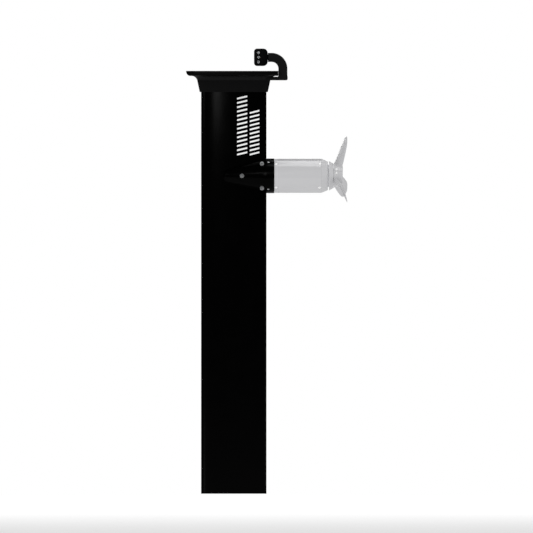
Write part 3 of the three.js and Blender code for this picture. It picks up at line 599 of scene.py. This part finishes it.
def collar_rows(grow=0.0):
    """The drafted sleeve's rings, from its lower rim up the flare to the plate."""
    low, top = COLLAR_LOW.z, PLATE_LOW.z
    start = COLLAR_OFFSET + (FLARE_START - low) * tan(COLLAR_DRAFT)
    radius = (top - FLARE_START) / (1 - sin(COLLAR_DRAFT))
    centre = (start + radius * cos(COLLAR_DRAFT), top - radius)
    rows = [(COLLAR_OFFSET + out, low + up) for out, up in COLLAR_RIM]
    steps = 18
    for i in range(steps + 1):
        angle = pi - COLLAR_DRAFT + (COLLAR_DRAFT - pi / 2) * i / steps
        rows.append((centre[0] + radius * cos(angle), centre[1] + radius * sin(angle)))
    return [[(x, y, z) for x, y in foil_outline(offset + grow)] for offset, z in rows]


def passage(front, rear):
    """The wires' way through the collar and the duct's foot."""
    return cuboid((front, -WIRES_HALF, PASSAGE_LOW), (rear, WIRES_HALF, PASSAGE_HIGH))


def make_collar():
    collar = store("collar", skin(collar_rows()), COLLAR_BLACK, crease=radians(50))
    above = COLLAR_HIGH.z + 1
    carve(collar, [upright(foil_outline(SEAM), COLLAR_LOW.z - 1, above),
                   cuboid((WIRES_FRONT, -WIRES_HALF, WIRES_LOW), (WIRES_REAR, WIRES_HALF, above)),
                   passage(WIRES_FRONT, 90)])
    # Painted reflection: the flare's downward-facing faces get the lighter black in place of the floor's sheen.
    paint(collar, FLARE_PAINTED_SHEEN, lambda centre, normal: centre.z > FLARE_START and normal.z < -0.3)
    settle(collar, "root", "black_paint", "mast_collar")


WINDOW_REACH = 20.0  # windows are cut this far to each side, past the mast's skin
WINDOW_HALF = 14.0  # half the height of the wires' window at the nacelle
INSERT_ROOM, INSERT_GAP, INSERT_EDGE = 0.3, 0.25, 0.5
FOOT_HOLES, FOOT_HOLE, FOOT_HOLE_DEPTH = (-32, -8), 3.4, 30
FOOT_CHAMFER = ((4.6, -0.6), (3.3, 0.7))  # radius, and height from the mast's end


def make_mast():
    bottom, top = MAST_LOW.z, MAST_HIGH.z
    mast = store("mast", upright(foil_outline(0, steps=64), bottom, top, lower_edge=0.3), ANODISED)
    insert_low, insert_high = box_mm("foot_insert")
    front, rear = insert_low.x - INSERT_ROOM, insert_high.x + INSERT_ROOM

    def window(front, rear, low, high):
        return cuboid((front, -WINDOW_REACH, low), (rear, WINDOW_REACH, high))

    carve(mast, [
        upright(cavity_outline(front, rear), bottom - 1, top + 1),
        upright(cavity_outline(WIRES_FRONT, WIRES_REAR), bottom + 10, top + 1),
        window(WIRES_REAR - 1, FOIL_REAR + 2, AXIS_Z - WINDOW_HALF, AXIS_Z + WINDOW_HALF),
        window(WIRES_FRONT, WIRES_REAR, WIRES_LOW, 0),
        window(WIRES_REAR - 1, FOIL_REAR + 2, PASSAGE_LOW - 0.3, 0),
    ])
    settle(mast, "root", "black_anodised", "mast_extrusion")
    outline = cavity_outline(front, rear, INSERT_GAP)
    insert = store("foot_block", upright(outline, insert_low.z, insert_high.z,
                                         lower_edge=INSERT_EDGE), STEEL)
    holes = []
    for x in FOOT_HOLES:
        holes.append(rod(FOOT_HOLE, (x, 0, bottom - 1), (x, 0, bottom + FOOT_HOLE_DEPTH)))
        holes.append(skin([circle(radius, bottom + up, 40, (x, 0))
                           for radius, up in FOOT_CHAMFER]))
    carve(insert, holes)
    settle(insert, "root", "steel", "foot_insert")


# A generic graphic: two columns of slanted strokes lying on the port side.
GRAPHIC_COLUMNS = ({"front": 9.4, "rear": 28.8, "top": -47, "bottom": -162},
                   {"front": 33.6, "rear": 52.0, "top": -74.5, "bottom": -162})
STROKE, STROKE_PITCH, STROKE_SLANT = 3.2, 8.2, 4.6
PRINT_HEIGHT, PRINT_DEPTH = 0.12, 0.05  # how far a stroke stands out of the mast and in it


def make_graphic():
    number = 0
    steps = 8
    for column in GRAPHIC_COLUMNS:
        width = column["rear"] - column["front"]
        room = column["top"] - column["bottom"] - STROKE - STROKE_SLANT
        count = round(room / STROKE_PITCH) + 1
        for k in range(count):
            number += 1
            low = column["bottom"] + room * k / (count - 1)
            rows = []
            for i in range(steps + 1):
                x = column["front"] + width * i / steps
                z = low + STROKE_SLANT * i / steps
                top = z + STROKE
                near, far = -foil_half(x) - PRINT_HEIGHT, -foil_half(x) + PRINT_DEPTH
                rows.append([(x, near, z), (x, near, top), (x, far, top), (x, far, z)])
            stroke = store(f"graphic_stroke_{number}", skin(rows), WHITE_PRINT)
            settle(stroke, "root", "black_anodised")


# ---- duct and terminal block

DUCT_BEND = (75.5, 4.3)
DUCT_INNER, DUCT_OUTER, DUCT_WALL, DUCT_EDGE = 12.95, 30.2, 1.8, 2.0
FOOT_FRONT, FOOT_TOP, FOOT_CORNER = 66, -11.0, 3.0  # the duct's foot, on the plate's rear edge
BLOCK_FRONT_CORNER, BLOCK_REAR_CORNER, BLOCK_EDGE = 6.0, 8.5, 1.4
TERMINAL_BORE, CLAMP_BORE, CLAMP_END = 4.1, 3.2, -3.8
BAY_HALF = 9
BAYS = ((57.8, 66.8, 13), (66, BLOCK_HIGH.x + 1, 6.5))  # front, rear and half the height


def make_duct():
    bend_x, bend_z = DUCT_BEND
    front, rear, bottom = BLOCK_HIGH.x + 2 * SEAM, DUCT_HIGH.x, DUCT_LOW.z
    corner = (rear - FOOT_CORNER, bottom + FOOT_CORNER)
    outline = [(front, bend_z + DUCT_OUTER)] + arc(DUCT_BEND, DUCT_OUTER, 90, 0, 28)
    outline += [(bend_x + DUCT_OUTER, FOOT_TOP + 2), (rear, FOOT_TOP + 0.4)]
    outline += arc(corner, FOOT_CORNER, 0, -90, 8)
    outline += [(FOOT_FRONT, bottom), (FOOT_FRONT, FOOT_TOP),
                (bend_x + DUCT_INNER - 1, FOOT_TOP), (bend_x + DUCT_INNER, FOOT_TOP + 1)]
    outline += arc(DUCT_BEND, DUCT_INNER, 0, 90, 18) + [(front, bend_z + DUCT_INNER)]
    duct = store("duct", sideways(outline, DUCT_HIGH.y, edge=DUCT_EDGE), DUCT_BLACK)
    outer, inner, mouth = DUCT_OUTER - DUCT_WALL, DUCT_INNER + DUCT_WALL, front - 3
    hollow = [(mouth, bend_z + outer)] + arc(DUCT_BEND, outer, 90, 0, 20)
    hollow += [(bend_x + outer, PASSAGE_LOW), (bend_x + inner, PASSAGE_LOW)]
    hollow += arc(DUCT_BEND, inner, 0, 90, 14) + [(mouth, bend_z + inner)]
    carve(duct, [sideways(hollow, DUCT_HIGH.y - DUCT_WALL), passage(60, 104),
                 skin(collar_rows(2 * SEAM))])
    settle(duct, "root", "black_plastic", "cable_duct")


def make_block():
    front, rear, bottom, top = BLOCK_LOW.x, BLOCK_HIGH.x, BLOCK_LOW.z, BLOCK_HIGH.z
    near, far = BLOCK_FRONT_CORNER, BLOCK_REAR_CORNER
    outline = (arc((rear - far, top - far), far, 0, 90)
               + arc((front + near, top - near), near, 90, 180)
               + arc((front + near, bottom + near), near, 180, 270)
               + arc((rear - far, bottom + far), far, 270, 360))
    block = store("terminal_block", sideways(outline, BLOCK_HIGH.y, edge=BLOCK_EDGE), BLOCK_BLACK)
    cutters = []
    for number in (1, 2, 3):
        low, high = box_mm(f"phase_terminal_{number}")
        z = ((low + high) / 2).z
        cutters.append(rod(TERMINAL_BORE, (front - 2, 0, z), (high.x + 1, 0, z)))
        screw_low, screw_high = box_mm(f"terminal_screw_{number}")
        screw_x = (screw_low.x + screw_high.x) / 2
        cutters.append(rod(CLAMP_BORE, (screw_x, -BLOCK_HIGH.y - 2, z), (screw_x, CLAMP_END, z)))
        add_screw(f"terminal_clamp_screw_{number}", (screw_x, screw_low.y, z), (0, -1, 0), "root",
                  f"terminal_screw_{number}", metal=STEEL, head=2.6, height=2.4, shank=2.3,
                  length=8.4, socket=1.3)
    middle = (bottom + top) / 2
    for bay_front, bay_rear, half in BAYS:
        cutters.append(cuboid((bay_front, -BAY_HALF, middle - half),
                              (bay_rear, BAY_HALF, middle + half)))
    carve(block, cutters, soft=0.3)
    settle(block, "root", "black_plastic", "terminal_housing")


# ---- nacelle

CONE_TIP, CONE_END, CONE_SLOPE, CONE_CROWN = -19.5, 62.0, 0.25, 0.5
CONE_NOSE = 7.7  # how long the rounded nose at its tip is
NACELLE_RADIUS, SPIGOT_BORE, SHOULDER_ROUND = 33.25, 29.3, 6
NACELLE_REACH = 60  # cuts reach this far past the nacelle
GLAND_END, GLAND_HALF, GLAND_HEIGHT = 67.8, 6, 12.5  # the wires' room behind the mast
BOLT_BORE, BOLT_LENGTH, BOLT_SEAT, BOLT_SEAT_DEPTH = 2.8, 28, 4.55, 5.1
MOUNT_TOP, MOUNT_SEAT, MOUNT_SEAT_DEPTH = 33.0, 2.6, 1.9
SCREW_BORE = 1.8  # for the pod's small screws


def nacelle_profile():
    """The nacelle's outline as x and radius: nose, slightly crowned cone, rim and bore."""
    cone = CONE_END - CONE_TIP - CONE_NOSE
    nose = NACELLE_RADIUS - CONE_SLOPE * cone
    profile = [(CONE_TIP + CONE_NOSE * (1 - cos(turn)), nose * sin(turn))
               for turn in quarter(16)]
    for i in range(1, 14):
        t = 0.9 * i / 14
        profile.append((CONE_TIP + CONE_NOSE + cone * t,
                        nose + (NACELLE_RADIUS - nose) * t + 4 * CONE_CROWN * t * (1 - t)))
    rear, back = NACELLE_HIGH.x, FOIL_REAR + 0.1
    blend = rounded([profile[-1], (CONE_END, NACELLE_RADIUS), (rear - 0.5, NACELLE_RADIUS),
                     (rear, NACELLE_RADIUS - 0.5)], SHOULDER_ROUND, steps=10)
    return profile + blend[1:] + [(rear, SPIGOT_BORE), (back, SPIGOT_BORE), (back, 0)]


def make_nacelle():
    bolts = []
    for number in (1, 2, 3):
        low, high = box_mm(f"nacelle_bolt_{number}")
        bolts.append(Vector(((low.x + high.x) / 2, low.y, (low.z + high.z) / 2)))
    mounts = radial_screws("motor_mount_screw", 4, MOUNT_TOP)
    front, rear, reach = NACELLE_LOW.x, NACELLE_HIGH.x, NACELLE_REACH
    for side, name in ((PORT, "port"), (STARBOARD, "starboard")):
        half = store(f"nacelle_{name}_half", turned(nacelle_profile(), 160), NACELLE_BLACK,
                     crease=radians(20))
        other = (-SEAM, reach) if side == PORT else (-reach, SEAM)  # the other half's side
        cutters = [cuboid((front - 20, other[0], AXIS_Z - reach),
                          (rear + 5, other[1], AXIS_Z + reach)),
                   upright(foil_outline(SEAM), AXIS_Z - reach, AXIS_Z + reach),
                   cuboid((WIRES_REAR, -GLAND_HALF, AXIS_Z - GLAND_HEIGHT),
                          (GLAND_END, GLAND_HALF, AXIS_Z + GLAND_HEIGHT))]
        for top in bolts:
            outside = (top.x, -50, top.z)
            cutters.append(rod(BOLT_BORE, outside, (top.x, top.y + BOLT_LENGTH, top.z)))
            if side == PORT:
                cutters.append(rod(BOLT_SEAT, outside, (top.x, top.y + BOLT_SEAT_DEPTH, top.z)))
        for top, outward in mounts:
            if outward.y * side > 0:
                cutters.append(screw_seat(top, outward, MOUNT_SEAT, MOUNT_SEAT_DEPTH))
                cutters.append(screw_seat(top, outward, SCREW_BORE, 9))
        carve(half, cutters, soft=0.2, crease=radians(28))
        settle(half, "root", "black_paint", f"nacelle_{name}")
    for number, top in enumerate(bolts, 1):
        add_screw(f"nacelle_socket_bolt_{number}", top, (0, -1, 0), "root",
                  f"nacelle_bolt_{number}", head=4.2, height=4.8, shank=2.5, length=27, socket=2.35)
    for number, (top, outward) in enumerate(mounts, 1):
        add_screw(f"ring_screw_{number}", top, outward, "root", f"motor_mount_screw_{number}",
                  head=2.3, height=1.6, shank=1.5, length=6, socket=1.0, dome=0.3)


# ---- motor pod

CAN_BORE, CAN_EDGE, CAN_SCREW_TOP = 29.5, 0.15, 32.6
CAN_SEAT, CAN_SEAT_DEPTH = 3.15, 1.6
RING_MARGIN = 2.9
POLISH_MARGIN = 3.3  # the polish starts and ends this far behind the front and rear screws
SPIGOT_RADIUS, SHAFT_BORE, GROOVE_FRONT = 29.2, 6.9, 183.2

# The tail's profile as x and radius: the bearing's bore with a pocket round it, the rim and
# groove at the back, and the rooms of the shaft, the seal and the bearing.
TAIL_FRONT = [(161.5, 14.3), (161.5, 18), (168, 18), (168, 25.5), (161.5, 25.5),
              (161.5, SPIGOT_RADIUS)]
TAIL_RIM = [(182.6, 27.6), (GROOVE_FRONT, 26.6), (GROOVE_FRONT, 21.9), (183.6, 21.5),
            (184.3, 21.5)]
TAIL_BORES = [(181.3, SHAFT_BORE), (181.3, 12.3), (173.7, 12.3), (173.7, 9), (172.3, 9),
              (172.3, 14.3)]


def make_motor():
    front, rear = HOUSING_LOW.x, HOUSING_HIGH.x
    radius = (HOUSING_HIGH.z - HOUSING_LOW.z) / 2
    rim = radius - CAN_EDGE
    screws = radial_screws("motor_cap_screw", 8, CAN_SCREW_TOP)
    places = (screws[0][0].x, screws[4][0].x)
    profile = [(front, CAN_BORE), (front, rim), (front + CAN_EDGE, radius)]
    for place in places:
        profile += [(place - RING_MARGIN, radius), (place + POLISH_MARGIN, radius)]
    profile += [(rear - CAN_EDGE, radius), (rear, rim), (rear, CAN_BORE)]
    housing = store("motor_can", turned(profile, 240), PALE_ALLOY, crease=FINE_CREASE)
    carve(housing, [screw_seat(top, outward, *size) for top, outward in screws
                    for size in ((CAN_SEAT, CAN_SEAT_DEPTH), (SCREW_BORE, 6))])
    paint(housing, PALE_POLISHED,
          lambda centre, _: places[0] < centre.x - POLISH_MARGIN < places[1])
    settle(housing, "root", "pale_alloy", "motor_housing")

    start, end = rear + 0.05, HUB_LOW.x - SEAM
    profile = TAIL_FRONT + [(start, SPIGOT_RADIUS), (start, rim), (start + CAN_EDGE, radius)]
    profile += TAIL_RIM + [(end, 21.2), (end, SHAFT_BORE)] + TAIL_BORES
    cap = store("motor_tail", turned(profile, 160), PALE_ALLOY, crease=FINE_CREASE)
    carve(cap, [screw_seat(top, outward, SCREW_BORE, 12) for top, outward in screws[4:]])
    # Painted light: the tail's faces behind its rim, round the groove, get the near-white pale against the
    # groove's shade.
    paint(cap, GROOVE_PAINTED_LIGHT, lambda centre, normal: centre.x > GROOVE_FRONT + 0.1
          or (centre.x > GROOVE_FRONT - 0.1 and normal.x > 0.9))
    settle(cap, "root", "pale_alloy", "motor_rear_cap")
    for number, (top, outward) in enumerate(screws, 1):
        add_screw(f"can_screw_{number}", top, outward, "root", f"motor_cap_screw_{number}",
                  metal=BRIGHT_STEEL, head=3.0, height=1.4, shank=1.5, length=6, socket=0.9,
                  dome=0.4)


# ---- propeller

HUB_SLOPE, HUB_SPLIT = 0.57, 8.9
BARREL_RADIUS, BARREL_SHOULDER, BARREL_END = 19.5, 199.4, 211.8
BARREL_FRONT = HUB_LOW.x + 9.2
CORE_RADIUS, SHAFT_HOLE, NUT_SEAT, NUT_RECESS = 14.0, 6.3, 204, 11
CORE_ROOM = 0.3
BLADE_COUNT, BLADE_ROOT, BLADE_TIP = 3, 17.0, 76.0
FIRST_BLADE = radians(2.75)
BLADE_SCREW_ANGLE = radians(47.5)
BLADE_SCREW_X, BLADE_SCREW_TOP = 199.2, 20.3

# How a blade changes from its root, t = 0, to its tip, t = 1: the factors of 1, t and t squared.
CHORD = (22.3, 33.5, -23.4)
PITCH = (130, -22, 0)
THICKNESS = (5.2, -3.6, 0)
MIDDLE_X = (200.8, 20.8, -2.5)
SKEW = (0, -8.5, 13.5)  # degrees
CAMBER, FULLNESS = 0.03, 0.25
TIP_START, TIP_POWER = 0.6, 2.6  # where the tip starts to round off, and how bluntly
ROOT_FILLET = ((-0.02, 2.2), (0.035, 2.0), (0.045, 1.3), (0.056, 0.7), (0.07, 0.25))
TIP_STATIONS = (0.94, 0.955, 0.968, 0.979, 0.987, 0.993, 0.9975)


def hub_radius(x):
    return (HUB_HIGH.z - HUB_LOW.z) / 2 - HUB_SLOPE * (x - HUB_LOW.x)


def law(factors, t):
    return factors[0] + factors[1] * t + factors[2] * t * t


def blade_section(t, steps=15):
    """One section of the blade, wrapped on a cylinder round the shaft."""
    radius = BLADE_ROOT + (BLADE_TIP - BLADE_ROOT) * t
    tip_round = sqrt(1 - max(0.0, (t - TIP_START) / (1 - TIP_START)) ** TIP_POWER)
    chord = law(CHORD, t) * tip_round
    pitch = atan(law(PITCH, t) / (2 * pi * radius))
    thickness = min(law(THICKNESS, t), chord * 0.4)
    middle = law(MIDDLE_X, t)
    skew = radians(law(SKEW, t))
    section = []
    for i in range(2 * steps):
        turn = pi * i / steps
        along = -cos(turn) * chord / 2
        fullness = 1 - FULLNESS * cos(turn)
        camber = chord * CAMBER * sin(turn) ** 2
        out = sin(turn) * fullness * thickness / 2 + camber
        x = middle + along * sin(pitch) - out * cos(pitch)
        sweep = along * cos(pitch) + out * sin(pitch)
        section.append(Vector(around(x, radius, skew + sweep / radius)) + POD)
    return section


def barrel_profile():
    """The profile of the blades' feet, from the hub's cone to their flat end."""
    front, end, bore = BARREL_FRONT, BARREL_END, CORE_RADIUS + CORE_ROOM
    return rounded([(front + 4, bore), (front, bore), (front, hub_radius(front)),
                    (BARREL_SHOULDER, BARREL_RADIUS + 0.5), (end - 2, BARREL_RADIUS),
                    (end - 0.6, BARREL_RADIUS - 0.6), (end, BARREL_RADIUS - 2), (end, bore),
                    (front + 4, bore)], 0.5)[:-1]


def sector(half_angle):
    """A wedge on the pod's axis, pointing up, that trims a blade's foot."""
    apex = SEAM / sin(half_angle)
    reach = 70
    rows = []
    for x in (HUB_LOW.x - 1, HUB_LOW.x + 40):
        corners = [(0, 0)] + [(-sin(a) * r, cos(a) * r) for a, r in
                              ((half_angle, reach), (0, 2 * reach), (-half_angle, reach))]
        rows.append([Vector((x, y, z + apex)) + POD for y, z in corners])
    return skin(rows)


def fillet_ring(t, spread):
    """The blade's root section spread outwards, for the fillet where it meets the barrel."""
    section = blade_section(t)
    centre = sum(section, Vector()) / len(section)
    return [point + (point - centre).normalized() * spread for point in section]


def blade_screw(angle):
    """The head's top and outward direction of a screw in a blade's foot."""
    return (Vector(around(BLADE_SCREW_X, BLADE_SCREW_TOP, angle)) + POD,
            Vector(around(0, 1, angle)))


def make_blade():
    """The blade that points up, on its foot, with the seats of its two screws."""
    foot = store("blade_foot", turned(barrel_profile(), 180), PALE_COMPOSITE)
    carve(foot, [sector(pi / BLADE_COUNT)], "INTERSECT")
    stations = [0.02 + 0.9 * i / 20 for i in range(2, 21)] + list(TIP_STATIONS)
    rows = [fillet_ring(t, spread) for t, spread in ROOT_FILLET]
    rows += [blade_section(t) for t in stations]
    blade = store("blade", skin(rows), PALE_COMPOSITE, crease=radians(40))
    front, room = HUB_LOW.x, CORE_RADIUS + 2
    cone = [(front - 10, 0), (front - 10, hub_radius(front - 10) + CORE_ROOM),
            (BARREL_FRONT, hub_radius(BARREL_FRONT) + CORE_ROOM), (BARREL_FRONT, 0)]
    core = [(front, 0), (front, room), (front + 40, room), (front + 40, 0)]
    carve(blade, [turned(cone, 120), turned(core, 96)])
    seats = []
    for side in (-1, 1):
        top, outward = blade_screw(side * BLADE_SCREW_ANGLE)
        seats += [screw_seat(top, outward, 2.75, 2.0), screw_seat(top, outward, 2.3, 9)]
    carve(foot, seats, joined=blade)
    bpy.data.meshes.remove(blade.data)
    return foot


def turned_copy(piece, name, angle):
    copy = piece.copy()
    copy.data = piece.data.copy()
    copy.name = copy.data.name = name
    axis = POD * MM
    turn = Matrix.Translation(axis) @ Matrix.Rotation(angle, 4, "X") @ Matrix.Translation(-axis)
    copy.data.transform(turn)
    bpy.context.scene.collection.objects.link(copy)
    return copy


def make_hub():
    front, end = HUB_LOW.x, HUB_HIGH.x
    radius = (HUB_HIGH.z - HUB_LOW.z) / 2
    split = front + HUB_SPLIT
    profile = rounded([(front + 3, SHAFT_HOLE), (front, SHAFT_HOLE), (front, radius),
                       (split, hub_radius(split)), (split, CORE_RADIUS), (end, CORE_RADIUS),
                       (end, NUT_RECESS), (NUT_SEAT, NUT_RECESS), (NUT_SEAT, SHAFT_HOLE),
                       (front + 3, SHAFT_HOLE)], 0.3)
    hub = store("hub", turned(profile[:-1], 160), PALE_ALLOY, crease=FINE_CREASE)
    # Painted light: the hub's front face, across the groove, gets the near-white pale against the groove's shade.
    paint(hub, GROOVE_PAINTED_LIGHT, lambda centre, normal: centre.x < front + 0.1 and normal.x < -0.9)
    settle(hub, "rotor", "pale_alloy", "propeller_hub")


def make_blades():
    pattern = make_blade()
    for number in range(BLADE_COUNT):
        angle = FIRST_BLADE + number * 2 * pi / BLADE_COUNT
        blade = turned_copy(pattern, f"screw_blade_{number + 1}", angle)
        settle(blade, "rotor", "pale_composite", f"propeller_blade_{number + 1}")
        for place, side in enumerate((-1, 1), 1):
            top, outward = blade_screw(angle + side * BLADE_SCREW_ANGLE)
            index = 2 * number + place
            add_screw(f"root_screw_{index}", top, outward, "rotor", f"blade_screw_{index}",
                      metal=BRIGHT_STEEL, head=2.6, height=1.7, shank=2.0, length=10, socket=1.2,
                      dome=0.25)
    bpy.data.meshes.remove(pattern.data)


NUT_CORNER, NUT_RADIUS, NUT_BORE = 9.8, 9.6, 6.25
SHAFT_RADIUS, SHAFT_END_RADIUS, SHAFT_FRONT_RADIUS = 6, 5.3, 5.5


def make_nut():
    low, high = box_mm("propeller_nut")
    steps = 72
    rows = []
    for x, shrink in ((low.x, 0.6), (low.x + 0.5, 0), (high.x - 0.7, 0), (high.x, 0.8)):
        ring = []
        for i in range(steps):
            angle = 2 * pi * i / steps
            reach = min(hexagon_reach(NUT_CORNER, angle), NUT_RADIUS - shrink)
            ring.append(Vector(around(x, reach, angle)) + POD)
        rows.append(ring)
    nut = store("shaft_nut", skin(rows), STAINLESS)
    ends = [Vector((x, 0, 0)) + POD for x in (low.x - 1, high.x + 1)]
    carve(nut, [rod(NUT_BORE, *ends, 64)], soft=0.15)
    settle(nut, "rotor", "stainless", "propeller_nut")


def make_shaft():
    low, high = box_mm("motor_shaft")
    profile = [(low.x, 0), (low.x, SHAFT_FRONT_RADIUS), (low.x + 0.5, SHAFT_RADIUS),
               (high.x - 0.7, SHAFT_RADIUS), (high.x, SHAFT_END_RADIUS), (high.x, 0)]
    shaft = store("drive_shaft", turned(profile, 64), STEEL)
    settle(shaft, "rotor", "steel", "motor_shaft")


# ---- plate screws and kept CAD nodes

def make_plate_screws():
    for number in (1, 2):
        low, high = box_mm(f"plate_screw_{number}")
        top = ((low.x + high.x) / 2, 0, high.z)
        add_screw(f"countersunk_screw_{number}", top, (0, 0, 1), "root", f"plate_screw_{number}",
                  head=7.4, height=4.3, shank=4, length=high.z - low.z, socket=2.9, cone=True)


def dress_kept_nodes():
    """Gives every CAD node that still shows its slot's procedural material."""
    slots = {part["node"]: part["material_slot"] for part in frame["record"]["subparts"]}
    for node, piece in frame["nodes"].items():
        piece.data.materials.clear()
        piece.data.materials.append(SLOT_MATERIALS[slots[node]])
        piece.data.set_sharp_from_angle(angle=radians(40))


# ---- studio

CAMERA_PLACE, CAMERA_WIDTH = (0.0657, -3.0, -0.3747), 1.0211


def make_camera():
    camera = bpy.data.objects.new("camera", bpy.data.cameras.new("camera"))
    camera.data.type = "ORTHO"
    camera.data.ortho_scale = CAMERA_WIDTH
    camera.location = CAMERA_PLACE
    camera.rotation_euler = (radians(90), 0, 0)
    camera.data.clip_end = 20
    bpy.context.scene.collection.objects.link(camera)
    bpy.context.scene.camera = camera


def add_softbox(name, middle, towards, width, height, radiance, lights_surfaces=False):
    """A rectangular lamp, seen in reflections only unless it lights surfaces too."""
    data = bpy.data.lights.new(name, "AREA")
    data.shape = "RECTANGLE"
    data.size, data.size_y = width, height
    data.energy = radiance * pi * width * height
    lamp = bpy.data.objects.new(name, data)
    lamp.location = middle
    lamp.rotation_euler = (Vector(towards) - Vector(middle)).to_track_quat("-Z", "Y").to_euler()
    lamp.visible_camera = False
    lamp.visible_diffuse = lights_surfaces
    bpy.context.scene.collection.objects.link(lamp)


FLOOR_LEVEL, FLOOR_RIM, FLOOR_CURVE, FLOOR_GLOW = -0.90, 4.0, 0.085, 0.4


def make_floor():
    """A pale floor under the hanging part, whose far edge curves up all round into white."""
    level, curve = FLOOR_LEVEL, FLOOR_CURVE
    foot = FLOOR_RIM - curve
    profile = [(0.001, level), (1.0, level), (2.5, level), (foot, level)]
    profile += [(foot + curve * sin(turn), level + curve - curve * cos(turn))
                for turn in quarter(24)[1:]]
    rows = [[point / MM for point in circle(radius, z, 128)] for radius, z in profile]
    floor = store("floor", skin(rows, closed_ends=False), FLOOR_PAPER, crease=radians(60))
    tree = FLOOR_PAPER.node_tree
    place = add_node(tree, "ShaderNodeTexCoord")
    height = add_node(tree, "ShaderNodeSeparateXYZ")
    glow = add_node(tree, "ShaderNodeMapRange", {
        "From Min": level + 0.01, "From Max": level + curve - 0.005,
        "To Min": 0.0, "To Max": FLOOR_GLOW})
    glow.interpolation_type = "SMOOTHSTEP"
    shader = tree.nodes["Principled BSDF"]
    shader.inputs["Emission Color"].default_value = (1, 1, 1, 1)
    tree.links.new(place.outputs["Object"], height.inputs["Vector"])
    tree.links.new(height.outputs["Z"], glow.inputs["Value"])
    tree.links.new(glow.outputs["Result"], shader.inputs["Emission Strength"])
    floor.visible_diffuse = floor.visible_glossy = False


WORLD_REFLECTED, WORLD_LIGHT, WORLD_SEEN = 0.04, 0.97, 1.0


def make_world():
    """White to the camera, even on dull surfaces and dim in reflections."""
    world = bpy.data.worlds.new("studio")
    bpy.context.scene.world = world
    world.use_nodes = True
    tree = world.node_tree
    link = tree.links.new
    tree.nodes.clear()
    path = add_node(tree, "ShaderNodeLightPath")
    output = add_node(tree, "ShaderNodeOutputWorld")
    mixed = None
    for ray, strength in ((None, WORLD_REFLECTED), ("Is Diffuse Ray", WORLD_LIGHT),
                          ("Is Camera Ray", WORLD_SEEN)):
        sky = add_node(tree, "ShaderNodeBackground", {"Color": (1, 1, 1, 1), "Strength": strength})
        if mixed is None:
            mixed = sky.outputs["Background"]
            continue
        mix = add_node(tree, "ShaderNodeMixShader")
        link(path.outputs[ray], mix.inputs["Fac"])
        link(mixed, mix.inputs[1])
        link(sky.outputs["Background"], mix.inputs[2])
        mixed = mix.outputs["Shader"]
    link(mixed, output.inputs["Surface"])


# Small softboxes on both sides: name, x, height, what it faces, width, height and radiance.
SIDE_LAMPS = (("low", -0.12, 0.06, (-0.12, 0, 0.06), 0.18, 0.3, 4.5),
              ("edge", -1.1, 0.06, (0, 0, 0.06), 0.2, 0.3, 2.4),
              ("cone", -0.4, 0.17, (0, 0, -0.2), 0.2, 0.1, 5.0),
              ("ring", 0.0, 0.15, (0, 0, -0.2), 0.14, 0.1, 3.5))


def make_studio():
    make_floor()
    make_world()
    for side_name, side in (("front", -1), ("back", 1)):
        for name, x, z, towards, width, height, radiance in SIDE_LAMPS:
            add_softbox(f"{side_name}_{name}", (x, side, z), towards, width, height, radiance)
    add_softbox("overhead", (0.45, 0.1, 1.3), (0.45, 0.1, 0), 0.8, 1.48, 3.5)
    add_softbox("under", (0, 0, -2.2), (0, 0, 0), 14, 14, 0.5)
    for number, bearing in enumerate((45, 135, 225, 315), 1):
        away = Matrix.Rotation(radians(bearing), 3, "Z") @ Vector((3.0, 0, 0))
        middle = away + Vector((0, 0, -1.95))
        add_softbox(f"low_strip_{number}", middle, (0, 0, -0.6), 0.55, 1.3, 1.6)
    add_softbox("rear_top", (0.7, 1.4, 0.9), (0, 0, -0.3), 1.0, 0.6, 1.2, lights_surfaces=True)
    bpy.context.scene.view_settings.view_transform = "Standard"


make_camera()
dress_kept_nodes()
make_plate()
make_plate_screws()
make_collar()
make_mast()
make_graphic()
make_duct()
make_block()
make_nacelle()
make_motor()
make_hub()
make_blades()
make_nut()
make_shaft()
make_studio()
